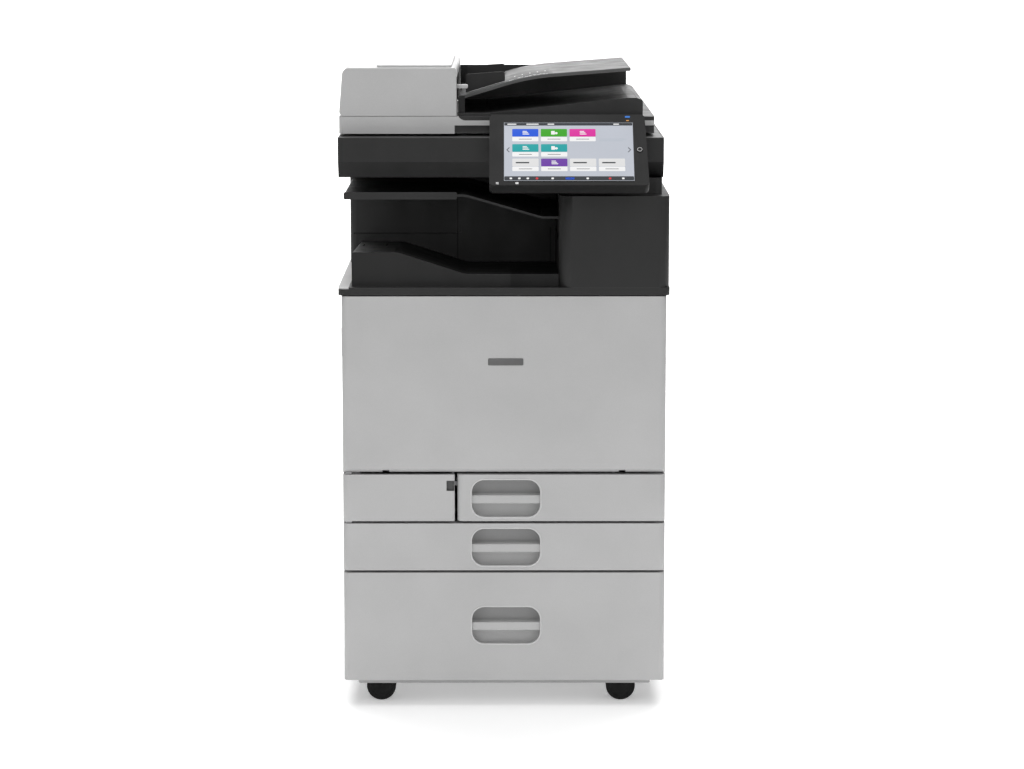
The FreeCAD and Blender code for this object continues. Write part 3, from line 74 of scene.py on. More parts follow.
class Finish:
    """A procedural material, built round its Principled shader."""

    def __init__(self, name, **sockets):
        self.material = bpy.data.materials.new(name)
        self.material.use_nodes = True
        self.tree = self.material.node_tree
        self.shader = self.tree.nodes["Principled BSDF"]
        for socket, value in sockets.items():
            self.shader.inputs[socket.replace("_", " ")].default_value = value
        self.place = self.node("ShaderNodeTexCoord").outputs["Object"]

    def node(self, kind, inputs=None, **settings):
        made = self.tree.nodes.new(kind)
        for key, value in settings.items():
            setattr(made, key, value)
        for key, value in (inputs or {}).items():
            if isinstance(value, bpy.types.NodeSocket):
                self.tree.links.new(value, made.inputs[key])
            else:
                made.inputs[key].default_value = value
        return made

    def drive(self, socket, source):
        self.tree.links.new(source, self.shader.inputs[socket])

    def stretched(self, scale):
        return self.node("ShaderNodeMapping", {"Vector": self.place, "Scale": scale}).outputs[0]

    def noise(self, scale, detail=2.0, stretch=None):
        place = self.stretched(stretch) if stretch else self.place
        made = self.node("ShaderNodeTexNoise", {"Vector": place, "Scale": scale, "Detail": detail})
        return made.outputs[0]

    def cells(self, scale, feature="F1", stretch=None):
        place = self.stretched(stretch) if stretch else self.place
        return self.node("ShaderNodeTexVoronoi", {"Vector": place, "Scale": scale}, feature=feature)

    def spread(self, source, low, high, start=0.3, end=0.7):
        made = self.node("ShaderNodeMapRange", {0: source, 1: start, 2: end, 3: low, 4: high})
        return made.outputs[0]

    def maths(self, operation, first, second=0.0):
        return self.node("ShaderNodeMath", {0: first, 1: second}, operation=operation).outputs[0]

    def mixed(self, factor, first, second):
        made = self.node("ShaderNodeMix", {0: factor, 6: first, 7: second}, data_type="RGBA")
        return made.outputs[2]

    def bump(self, height, depth, strength=1.0):
        """Adds a relief on top of what the shader's normal already has."""
        inputs = {"Height": height, "Distance": depth, "Strength": strength}
        linked = self.shader.inputs["Normal"].links
        if linked:
            inputs["Normal"] = linked[0].from_socket
        self.drive("Normal", self.node("ShaderNodeBump", inputs).outputs[0])

    def edges(self, radius):
        """1 along the edges of the shape, 0 on its flats."""
        soft = self.node("ShaderNodeBevel", {"Radius": radius}, samples=4).outputs[0]
        sharp = self.node("ShaderNodeNewGeometry").outputs["Normal"]
        match = self.node("ShaderNodeVectorMath", {0: soft, 1: sharp}, operation="DOT_PRODUCT")
        return self.spread(match.outputs["Value"], 1.0, 0.0, 0.86, 0.995)

    def within(self, *ranges):
        """1 inside the ranges (axis, low, high) of the frame's coordinates."""
        split = self.node("ShaderNodeSeparateXYZ", {0: self.place})
        inside = None
        for axis, low, high in ranges:
            for operation, limit in (("GREATER_THAN", low), ("LESS_THAN", high)):
                if limit is None:
                    continue
                test = self.maths(operation, split.outputs[axis], limit)
                inside = test if inside is None else self.maths("MULTIPLY", inside, test)
        return inside


def plastic(name, colour, rough=0.5, specular=0.4, grain=0.0007, depth=0.00005, wear_and_highlight=1.25, zones=()):
    """Spark-textured moulded plastic: fine grain, faint clouding, brighter edges worn by rubbing and lit
    by a painted highlight.
    """
    made = Finish(name, Specular_IOR_Level=specular)
    cloud = made.noise(9.0, 4.0)
    base = made.mixed(made.spread(cloud, 0, 1), shade(colour, 0.965), shade(colour, 1.03))
    for ranges, zone_colour in zones:
        zone = made.mixed(
            made.spread(cloud, 0, 1), shade(zone_colour, 0.96), shade(zone_colour, 1.04)
        )
        mask = ranges(made) if callable(ranges) else made.within(*ranges)
        base = made.mixed(mask, base, zone)
    # Edges brighter, partly worn by rubbing and partly a painted highlight.
    rubbed_and_highlit = made.maths("MULTIPLY", made.edges(0.0016), made.spread(made.noise(55.0, 3.0), 0.25, 1))
    light = made.node("ShaderNodeHueSaturation", {"Color": base, "Value": wear_and_highlight}).outputs[0]
    speck = made.spread(made.noise(900.0, 1.0), 0.975, 1.02, 0.35, 0.65)
    base = made.mixed(rubbed_and_highlit, base, light)
    base = made.node("ShaderNodeHueSaturation", {"Color": base, "Value": speck}).outputs[0]
    made.drive("Base Color", base)
    smudge = made.noise(22.0, 5.0, (1.0, 1.0, 0.35))
    made.drive("Roughness", made.spread(smudge, rough - 0.07, rough + 0.07))
    made.bump(made.noise(26.0, 1.0), 0.00035, 0.25)
    made.bump(made.cells(1 / grain, "SMOOTH_F1").outputs[0], depth)
    return made.material


def steel(name, level, rough=0.38, spangle=70.0, metallic=0.85):
    """Galvanised sheet: flat crystals of slightly different brightness and faint rolling lines."""
    made = Finish(name, Metallic=metallic)
    flakes = made.cells(spangle)
    tone = made.node("ShaderNodeSeparateColor", {0: flakes.outputs["Color"]}).outputs[0]
    base = made.mixed(tone, grey(level - 7), grey(level + 7, (1.0, 1.0, 1.03)))
    stain = made.spread(made.noise(14.0, 5.0), 0, 1, 0.52, 0.75)
    base = made.mixed(stain, base, grey(level - 12, (1.02, 1.0, 0.97)))
    made.drive("Base Color", base)
    made.drive("Roughness", made.spread(tone, rough - 0.08, rough + 0.1, 0, 1))
    made.bump(made.noise(420.0, 2.0, (1.0, 0.04, 1.0)), 0.00004, 0.6)
    made.bump(made.noise(30.0, 2.0), 0.0003, 0.3)
    return made.material


def rubber(name, level, grain=0.0011, rough=0.78, dust=0.35):
    """Dull rubber with a pitted skin and pale dust caught in it."""
    made = Finish(name, Specular_IOR_Level=0.3)
    pits = made.cells(1 / grain).outputs[0]
    dirt = made.maths("MULTIPLY", made.spread(made.noise(60.0, 6.0), 0, dust, 0.5, 0.72), pits)
    base = made.mixed(dirt, grey(level), grey(level + 70, (1.03, 1.0, 0.95)))
    made.drive("Base Color", base)
    made.drive("Roughness", made.spread(made.noise(120.0, 3.0), rough - 0.1, rough + 0.1))
    made.bump(pits, 0.00012)
    made.bump(made.noise(18.0, 2.0), 0.0003, 0.3)
    return made.material


def clear(name, tint, rough=0.05, weight=1.0, ior=1.49):
    """Glass or clear plastic with faint wipe marks and dust."""
    made = Finish(name, Transmission_Weight=weight, IOR=ior)
    streak = made.noise(16.0, 4.0, (1.0, 0.25, 1.0))
    dust = made.spread(made.noise(800.0, 2.0), 0, 0.35, 0.66, 0.74)
    made.drive("Base Color", made.mixed(dust, tint, grey(225)))
    made.drive("Roughness", made.spread(streak, rough, rough + 0.09))
    made.bump(streak, 0.00002, 0.4)
    return made.material


def lit(name, colour, glow, fade=0.12):
    """A lit area of a display under dark glass, with its pixel grid and a slight fall-off."""
    made = Finish(
        name, Base_Color=(0.008, 0.008, 0.009, 1.0), Roughness=0.3, Specular_IOR_Level=0.08
    )
    grid = made.node("ShaderNodeTexBrick", {
        "Vector": made.place, "Scale": 2600.0, "Color1": (1, 1, 1, 1), "Color2": (0.97, 0.97, 0.97, 1),
        "Mortar": (0.9, 0.9, 0.9, 1), "Mortar Size": 0.03,
    }, offset=0.0).outputs[0]
    cloud = made.spread(made.noise(7.0, 1.0), 1 - fade, 1.0)
    tone = made.node("ShaderNodeHueSaturation", {"Color": colour, "Value": cloud}).outputs[0]
    tone = made.node("ShaderNodeMix", {0: 1.0, 6: tone, 7: grid}, data_type="RGBA",
                     blend_type="MULTIPLY").outputs[2]
    made.drive("Emission Color", tone)
    made.shader.inputs["Emission Strength"].default_value = glow
    made.bump(made.noise(240.0, 1.0), 0.00001, 0.3)
    return made.material


def foam(name, colour):
    """Soft white sheet over foam, slightly dimpled."""
    made = Finish(name, Sheen_Weight=0.15, Sheen_Roughness=0.5)
    fibre = made.noise(1500.0, 4.0)
    base = made.mixed(made.spread(made.noise(11.0, 4.0), 0, 1), shade(colour, 0.95), colour)
    made.drive("Base Color", base)
    made.drive("Roughness", made.spread(fibre, 0.7, 0.9))
    made.bump(fibre, 0.00006)
    made.bump(made.cells(90.0, "SMOOTH_F1").outputs[0], 0.0004, 0.5)
    return made.material


LIGHT = grey(181)

feeder_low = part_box("feeder_base")[0]
cover_low, cover_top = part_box("feeder_cover")
deck_low, deck_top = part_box("top_deck")
waste_low, waste_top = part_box("waste_toner_door")
door_low, door_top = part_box("front_door")
pad_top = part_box("platen_pad")[1]
scanner_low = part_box("scanner_base")[0]
tray_low, tray_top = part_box("feeder_input_tray")
tower_low, tower_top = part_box("exit_tower")

band_top = cover_low.z - 0.6 * MM
feeder_deck = band_top - 0.4 * MM
block_edge = cover_top.x + 0.8 * MM
hem_top = pad_top.z + 14 * MM
# Lower edge of the painted shade of the feeder's opening.
opening_shade_low = band_top - 7.5 * MM
INNER_CORNER = 15 * MM
CREASE_RISE = 29 * MM
FASCIA_END = 12 * MM
REAR_WALL = (1, 134 * MM, 139 * MM)
RECESS_HALF, RECESS_HIGH, RECESS_ROUND, RECESS_MIDDLE = 63.5 * MM, 71 * MM, 24 * MM, 3.5 * MM
RECESS_DROP = {"upper": 8.5 * MM, "middle": 8.5 * MM, "lower": 63 * MM}
GRIP_DROP = 29.5 * MM


def painted_opening_shade(made):
    """Painted shade of the feeder's opening on the upper part of its band, which meets the light block
    in a round corner.
    """
    split = made.node("ShaderNodeSeparateXYZ", {0: made.place})
    across = made.maths("SUBTRACT", split.outputs[0], block_edge + INNER_CORNER)
    up = made.maths("SUBTRACT", split.outputs[2], opening_shade_low + INNER_CORNER)
    squares = [made.maths("MULTIPLY", side, side) for side in (across, up)]
    reach = made.maths("SQRT", made.maths("ADD", *squares))
    in_corner = made.maths("LESS_THAN", reach, INNER_CORNER)
    past_corner = made.maths("GREATER_THAN", across, 0.0)
    high = made.maths("GREATER_THAN", split.outputs[2], opening_shade_low)
    return made.maths("MULTIPLY", high, made.maths("MAXIMUM", in_corner, past_corner))


def shaded_upper_recess(row):
    """The upper half of a drawer's finger recess, darkened inside as painted shade."""
    front_low, front_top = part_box(row + "_drawer_front")
    rim = front_top.z - RECESS_DROP[row]
    return (
        (1, front_low.y + 3 * MM, None),
        (0, RECESS_MIDDLE - RECESS_HALF, RECESS_MIDDLE + RECESS_HALF),
        (2, rim - GRIP_DROP, rim),
    )


case = plastic("light_case", LIGHT, rough=0.46, specular=0.35)
case_dark = plastic("dark_case", grey(42), rough=0.5, specular=0.25, wear_and_highlight=1.7)
tower_finish = plastic(
    "tower_case", grey(42), rough=0.5, specular=0.25, wear_and_highlight=1.7,
    zones=(
        ((REAR_WALL, (0, -90.6 * MM, -88 * MM), (2, tower_low.z, 905 * MM)), grey(10)),
        ((REAR_WALL, (0, -290 * MM, -90 * MM), (2, 831.4 * MM, 834 * MM)), grey(10)),
        ((REAR_WALL, (0, 88 * MM, 91 * MM), (2, tower_low.z, 844 * MM)), grey(10)),
    ),
)
case_scanner = plastic("scanner_case", grey(40), rough=0.48, specular=0.3, wear_and_highlight=1.8)
scanner_with_painted_shade = plastic(
    "scanner_painted_underside_shade", grey(35), rough=0.48, specular=0.3, wear_and_highlight=1.8,
    # Painted shade on the lower band under the front crease, where the face tucks under.
    zones=((((2, None, scanner_low.z + CREASE_RISE),), grey(8)),),
)
input_tray_finish = plastic(
    "input_tray_case", grey(46), rough=0.45, specular=0.3, wear_and_highlight=2.0,
    # Painted highlight along the tray's near rim.
    zones=((((1, None, tray_low.y + 0.7 * MM),), grey(84)),),
)
cover_finish = plastic(
    "feeder_cover_case", LIGHT, rough=0.46, specular=0.35,
    # Painted shade on the cover's right wall, below its top 20 mm.
    zones=((((0, cover_top.x - 0.5 * MM, None), (2, None, cover_top.z - 20 * MM)), grey(34)),),
)
case_black = plastic("black_case", grey(32), rough=0.5, specular=0.25, wear_and_highlight=2.3)
output_finish = plastic(
    "output_tray_case", grey(32), rough=0.5, specular=0.25, wear_and_highlight=2.3,
    zones=((((0, FASCIA_END, None),), grey(16)),),
)
inner_black = plastic("inner_black", grey(30), rough=0.55, specular=0.3, wear_and_highlight=1.6)
inner_grey = plastic("inner_grey", grey(92), rough=0.5)
tub_plastic = plastic("tub_plastic", grey(168, (1.0, 1.0, 0.985)), rough=0.42)
guide_blue = plastic("guide_blue", (0.03, 0.16, 0.34, 1.0), rough=0.4, wear_and_highlight=1.5)
panel_shell = plastic("panel_shell", grey(21), rough=0.5, specular=0.14, wear_and_highlight=2.0)
feeder_tones_and_painted_shade = plastic(
    "feeder_tones_and_painted_shade", LIGHT, rough=0.46, specular=0.35,
    zones=(
        (((2, band_top, None), (0, block_edge - 12 * MM, None)), grey(33)),
        # Painted shade of the feeder's opening, on the upper part of the band.
        (painted_opening_shade, grey(38)),
        # Painted shade in the hem recess below the band.
        (
            ((2, None, hem_top), (0, block_edge - 5 * MM, None), (1, None, feeder_low.y + 17 * MM)),
            grey(60),
        ),
        (((2, None, pad_top.z + 2 * MM), (1, feeder_low.y + 9 * MM, None)), grey(70)),
    ),
)
deck_two_tone = plastic(
    "deck_two_tone", grey(40), rough=0.5, specular=0.3, wear_and_highlight=1.6,
    zones=((((2, deck_top.z - 2.6 * MM, None), (0, None, deck_low.x + 19 * MM)), LIGHT),),
)
waste_door_finish = plastic(
    "waste_door_case", LIGHT, rough=0.46, specular=0.35,
    zones=((
        # Painted shade inside the lock notch at the door's upper right corner.
        (
            (0, waste_top.x - 16 * MM, None), (1, waste_low.y + 1.2 * MM, None),
            (2, waste_top.z - 31 * MM, waste_top.z - 10 * MM),
        ),
        grey(84),
    ),),
)
base_finish = plastic("base_case", grey(165), rough=0.5)
drawer_finish = plastic(
    "drawer_case", LIGHT, rough=0.46, specular=0.35,
    # Painted shade inside the upper half of each finger recess.
    zones=[(shaded_upper_recess(row), grey(146)) for row in RECESS_DROP],
)
sheet_steel = steel("galvanised_sheet", 172)
bright_steel = steel("bright_steel", 190, rough=0.24, spangle=400.0, metallic=0.95)
tyre = rubber("tyre", 7, rough=0.7, dust=0.05)
caster_plastic = plastic("caster_plastic", grey(11), rough=0.5, specular=0.2, wear_and_highlight=1.8)
roller_rubber = rubber("roller_rubber", 66)
platen_clear = clear("platen_clear", (0.86, 0.93, 0.9, 1.0), rough=0.01, ior=1.52)
waste_clear = clear("waste_clear", (0.72, 0.74, 0.72, 1.0), rough=0.28, weight=0.55)
belt_finish = plastic("belt", grey(24), rough=0.2, specular=0.55, depth=0.000008, wear_and_highlight=1.2)
drum_finish = plastic("drum_housing", grey(44), rough=0.45)
white_foam = foam("white_foam", (0.82, 0.83, 0.82, 1.0))
screen_glow = lit("screen_background", grey(208, (0.93, 0.98, 1.09)), 0.98)

TONERS = {
    "toner_bottle_1": (0.75, 0.55, 0.02, 1.0), "toner_bottle_2": (0.62, 0.03, 0.22, 1.0),
    "toner_bottle_3": (0.02, 0.3, 0.62, 1.0), "toner_bottle_4": grey(38),
}

DRESS = {
    case: ("front_door", "left_cover", "right_cover", "rear_cover", "right_door", "bypass_tray"),
    drawer_finish: ("upper_drawer_front", "middle_drawer_front", "lower_drawer_front"),
    cover_finish: ("feeder_cover",),
    scanner_with_painted_shade: ("scanner_base",),
    input_tray_finish: ("feeder_input_tray",),
    waste_door_finish: ("waste_toner_door",),
    feeder_tones_and_painted_shade: ("feeder_base",),
    deck_two_tone: ("top_deck",),
    base_finish: ("base_plate",),
    case_dark: ("power_switch_flap",),
    tower_finish: ("exit_tower",),
    case_scanner: ("one_bin_tray", "front_paper_guide", "rear_paper_guide", "panel_arm"),
    case_black: ("output_stop_fence",),
    output_finish: ("output_tray",),
    panel_shell: ("control_panel", "home_button"),
    inner_black: ("laser_unit", "fuser_frame", "power_switch", "power_inlet", "scan_carriage"),
    inner_grey: ("scanner_top",),
    tub_plastic: ("upper_drawer_tub", "middle_drawer_tub", "lower_drawer_tub"),
    sheet_steel: ("main_frame", "controller_box", "upper_lift_plate", "middle_lift_plate",
                  "lower_lift_plate"),
    roller_rubber: ("feed_roller", "fuser_roller"),
    platen_clear: ("platen_glass",),
    waste_clear: ("waste_toner_bottle",),
    belt_finish: ("transfer_belt_unit",),
    drum_finish: ("drum_units",),
    white_foam: ("platen_pad",),
    screen_glow: ("panel_screen",),
}
for bottle, colour in TONERS.items():
    DRESS[plastic(bottle + "_body", colour, rough=0.38, specular=0.45)] = (bottle,)
CORNERS = [f"{end}_{side}" for end in ("front", "rear") for side in ("left", "right")]
DRESS[caster_plastic] = tuple(corner + "_caster_yoke" for corner in CORNERS)
DRESS[tyre] = tuple(corner + "_caster_wheel" for corner in CORNERS)

for finish, names in DRESS.items():
    for name in names:
        for place in nodes[name].material_slots:
            place.material = finish


# ---- soft edges on the moulded parts -----------------------------------------------------------

ROUNDED = {
    1.6: ("front_door", "upper_drawer_front", "middle_drawer_front", "lower_drawer_front",
          "waste_toner_door", "feeder_cover", "exit_tower", "top_deck", "scanner_base"),
    0.9: ("left_cover", "right_cover", "rear_cover", "right_door", "base_plate", "output_tray",
          "one_bin_tray", "feeder_base", "control_panel", "panel_arm", "bypass_tray", "scanner_top",
          "output_stop_fence", "feeder_input_tray"),
    0.5: ("power_switch", "power_inlet", "laser_unit", "controller_box", "drum_units",
          "upper_drawer_tub", "middle_drawer_tub", "lower_drawer_tub", "home_button"),
}
for width, names in ROUNDED.items():
    for name in names:
        weld = nodes[name].modifiers.new("joined_faces", "WELD")
        weld.merge_threshold = 0.00001
        bevel = nodes[name].modifiers.new("soft_edges", "BEVEL")
        bevel.width = width * MM
        bevel.segments = 2
        bevel.limit_method = "ANGLE"
        bevel.angle_limit = math.radians(50)
        bevel.use_clamp_overlap = True
        bevel.harden_normals = True


# ---- mesh building -----------------------------------------------------------------------------


class Plane:
    """A flat place to build on: an origin and two directions; the third points outwards."""

    def __init__(self, origin, across, up):
        self.origin = Vector(origin)
        self.across = Vector(across).normalized()
        self.up = Vector(up).normalized()
        self.out = self.across.cross(self.up)

    def at(self, u, v, w=0.0):
        return self.origin + self.across * u + self.up * v + self.out * w


def rounded_outline(left, low, right, high, radius, steps=6):
    """Corner-rounded rectangle, anticlockwise."""
    radius = min(radius, (right - left) / 2, (high - low) / 2)
    corners = (
        (right - radius, low + radius, -90), (right - radius, high - radius, 0),
        (left + radius, high - radius, 90), (left + radius, low + radius, 180),
    )
    points = []
    for u, v, start in corners:
        for i in range(steps + 1):
            angle = math.radians(start + 90 * i / steps)
            points.append((u + radius * math.cos(angle), v + radius * math.sin(angle)))
    return points


class Piece:
    """One visual piece: closed solids are added to its mesh, then it goes on its body."""

    def __init__(self):
        self.mesh = bmesh.new()

    def loft(self, rings):
        rows = [[self.mesh.verts.new(point) for point in ring] for ring in rings]
        for near, far in zip(rows, rows[1:]):
            for i in range(len(near)):
                j = (i + 1) % len(near)
                self.mesh.faces.new((near[i], near[j], far[j], far[i]))
        self.mesh.faces.new(list(reversed(rows[0])))
        self.mesh.faces.new(rows[-1])
        return self

    def plate(self, plane, left, low, right, high, base, top, corner=0.002, edge=0.0004):
        """A rounded slab between two heights over the plane, with a soft outer rim."""
        edge = min(edge, (top - base) * 0.8, (right - left) * 0.3, (high - low) * 0.3)
        levels = [(base, 0.0)]
        for i in range(4):
            turn = math.radians(90 * i / 3)
            levels.append((top - edge + edge * math.sin(turn), edge * (1 - math.cos(turn))))
        rings = []
        for height, inset in levels:
            outline = rounded_outline(
                left + inset, low + inset, right - inset, high - inset, max(corner - inset, 0.00002)
            )
            rings.append([plane.at(u, v, height) for u, v in outline])
        return self.loft(rings)

    def turned(self, plane, u, v, profile, steps=36):
        """A solid turned round the plane's outward direction; profile is (radius, height)."""
        rings = []
        for radius, height in profile:
            rings.append([
                plane.at(
                    u + radius * math.cos(2 * math.pi * i / steps),
                    v + radius * math.sin(2 * math.pi * i / steps), height,
                )
                for i in range(steps)
            ])
        return self.loft(rings)

    def ring(self, plane, left, low, right, high, corner, radius, height=0.0, sides=10):
        """A round bead that follows a rounded rectangle."""
        outline = rounded_outline(left, low, right, high, corner, 8)
        count = len(outline)
        middle = ((left + right) / 2, (low + high) / 2)
        rows = []
        for i, (u, v) in enumerate(outline):
            ahead = outline[(i + 1) % count]
            back = outline[i - 1]
            along = Vector((ahead[0] - back[0], ahead[1] - back[1])).normalized()
            side = Vector((along.y, -along.x))
            if side.dot(Vector((u - middle[0], v - middle[1]))) < 0:
                side = -side
            row = []
            for j in range(sides):
                turn = 2 * math.pi * j / sides
                offset = radius * math.cos(turn)
                row.append(self.mesh.verts.new(
                    plane.at(u + side.x * offset, v + side.y * offset, height + radius * math.sin(turn))
                ))
            rows.append(row)
        for i in range(count):
            near, far = rows[i], rows[(i + 1) % count]
            for j in range(sides):
                k = (j + 1) % sides
                self.mesh.faces.new((near[j], near[k], far[k], far[j]))
        return self

    def screw(self, plane, u, v, radius):
        """A domed screw head with a cross recess."""
        arm, slot, depth = radius * 0.52, radius * 0.13, radius * 0.3
        rim = [(radius, 0.0), (radius, radius * 0.15), (radius * 0.9, radius * 0.38),
               (radius * 0.7, radius * 0.5)]
        steps = 24
        rows = []
        for size, height in rim:
            rows.append([
                self.mesh.verts.new(plane.at(
                    u + size * math.cos(2 * math.pi * i / steps),
                    v + size * math.sin(2 * math.pi * i / steps), height,
                ))
                for i in range(steps)
            ])
        for near, far in zip(rows, rows[1:]):
            for i in range(steps):
                j = (i + 1) % steps
                self.mesh.faces.new((near[i], near[j], far[j], far[i]))
        self.mesh.faces.new(list(reversed(rows[0])))
        cross = []
        for i in range(4):
            turn = math.pi / 2 * i
            for along, side in ((arm, -slot), (arm, slot), (slot, slot)):
                cross.append((
                    along * math.cos(turn) - side * math.sin(turn),
                    along * math.sin(turn) + side * math.cos(turn),
                ))
        top = [self.mesh.verts.new(plane.at(u + x, v + y, radius * 0.52)) for x, y in cross]
        floor = [
            self.mesh.verts.new(plane.at(u + x * 0.8, v + y * 0.8, radius * 0.52 - depth))
            for x, y in cross
        ]
        outer = rows[-1]
        for i in range(12):
            j = (i + 1) % 12
            a, b, c = outer[(2 * i - 1) % steps], outer[2 * i], outer[(2 * i + 1) % steps]
            self.mesh.faces.new((a, b, top[i]))
            self.mesh.faces.new((b, c, top[j], top[i]))
            self.mesh.faces.new((top[i], top[j], floor[j], floor[i]))
        self.mesh.faces.new(floor)
        return self

    def done(self, name, body, finish, slot):
        """Writes the mesh with smooth faces and sharp creases, and sets it on its body."""
        bmesh.ops.recalc_face_normals(self.mesh, faces=self.mesh.faces)
        for face in self.mesh.faces:
            face.smooth = True
        for edge in self.mesh.edges:
            if len(edge.link_faces) == 2 and edge.calc_face_angle() > math.radians(42):
                edge.smooth = False
        data = bpy.data.meshes.new(name)
        self.mesh.to_mesh(data)
        self.mesh.free()
        data.materials.append(finish)
        made = bpy.data.objects.new(name, data)
        bpy.context.scene.collection.objects.link(made)
        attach(made, body)
        return made


X, Y, Z = Vector((1, 0, 0)), Vector((0, 1, 0)), Vector((0, 0, 1))


def front_of(node):
    """The node's front face, with frame X and Z as its own directions."""
    return Plane((0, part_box(node)[0].y, 0), X, Z)


def back_of(node):
    return Plane((0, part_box(node)[1].y, 0), -X, Z)


# ---- front: badge and drawer grips -------------------------------------------------------------

badge_finish = plastic("badge_plate", grey(92), rough=0.34, specular=0.5, wear_and_highlight=1.5)
badge_middle = 3 * MM
badge_height = door_low.z + 0.63 * (door_top.z - door_low.z)
Piece().plate(
    front_of("front_door"), badge_middle - 32 * MM, badge_height - 6.5 * MM,
    badge_middle + 32 * MM, badge_height + 6.5 * MM, -0.3 * MM, 0.9 * MM, 2.2 * MM, 0.5 * MM,
).done("front_badge", "front_door", badge_finish, "case_grey")

# A bead round each finger recess; its pale colour is a painted highlight on the recess edge.
rim_highlight_finish = plastic("recess_rim_highlight", grey(196), rough=0.4, wear_and_highlight=1.1)
for row, drop in RECESS_DROP.items():
    face = front_of(row + "_drawer_front")
    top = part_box(row + "_drawer_front")[1].z - drop
    Piece().ring(
        face, RECESS_MIDDLE - RECESS_HALF, top - RECESS_HIGH, RECESS_MIDDLE + RECESS_HALF, top,
        RECESS_ROUND, 1.5 * MM, -0.5 * MM,
    ).done(row + "_drawer_grip_rim", row + "_drawer", rim_highlight_finish, "case_grey")


# ---- panel: screen content, lights and key -----------------------------------------------------

SCREEN_THICK = 1.5 * MM
screen_low, screen_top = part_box("panel_screen")
screen_high = (screen_top.z - screen_low.z) * math.sqrt(2) - SCREEN_THICK
screen_wide = screen_top.x - screen_low.x
slope = Vector((0, 1, 1)).normalized()
screen = Plane((screen_low.x, screen_low.y, screen_top.z - screen_high / math.sqrt(2)), X, slope)

TILE = {
    "blue": (0.019, 0.107, 0.73, 1), "green": (0.05, 0.4, 0.015, 1), "magenta": (0.76, 0.03, 0.36, 1),
    "teal": (0.014, 0.38, 0.39, 1), "purple": (0.16, 0.05, 0.39, 1), "card": grey(230),
    "white": grey(248), "slate": grey(60, (0.9, 1, 1.15)), "red": (0.7, 0.04, 0.05, 1),
    "amber": (0.9, 0.3, 0.03, 1), "sheen": grey(190, (0.9, 1.0, 1.12)),
}
glow = {key: lit("screen_" + key, colour, 1.0, 0.04) for key, colour in TILE.items()}
column = [(14.6 + 51.2 * i) * MM for i in range(4)]
row_base = {"high": 102.5 * MM, "middle": 66.8 * MM, "low": 33.0 * MM}
tile_wide, tile_high, film = 46.8 * MM, 18.0 * MM, 0.06 * MM


def tiles(colour, spots, label=None):
    """Rounded picture tiles of one colour on the screen; spots are (left, low, right, high)."""
    made = Piece()
    for left, low, right, high in spots:
        made.plate(screen, left, low, right, high, -0.02 * MM, film, 1.6 * MM, 0.02 * MM)
    made.done("screen_" + (label or colour), "panel", glow[colour], "screen_glass")


def tile_at(i, row):
    return (column[i], row_base[row], column[i] + tile_wide, row_base[row] + tile_high)


tiles("blue", [tile_at(0, "high")])
tiles("green", [tile_at(1, "high")])
tiles("magenta", [tile_at(2, "high")])
tiles("teal", [tile_at(0, "middle"), tile_at(1, "middle")])
tiles("purple", [tile_at(1, "low")])
tiles("card", [tile_at(0, "low"), tile_at(2, "low"), tile_at(3, "low")])
captions = [tile_at(i, "high") for i in range(3)] + [tile_at(i, "middle") for i in range(2)]
captions += [tile_at(i, "low") for i in range(4)]
tiles("white", [
    (left, low - 11 * MM, right, low - 0.8 * MM) for left, low, right, high in captions
], "captions")
BAR_INSET = 0.5 * MM
bar_right = screen_wide - BAR_INSET
tiles("slate", [(BAR_INSET, screen_high - 7 * MM, bar_right, screen_high - BAR_INSET)], "status_bar")
tiles("slate", [(BAR_INSET, BAR_INSET, bar_right, 10 * MM)], "task_bar")


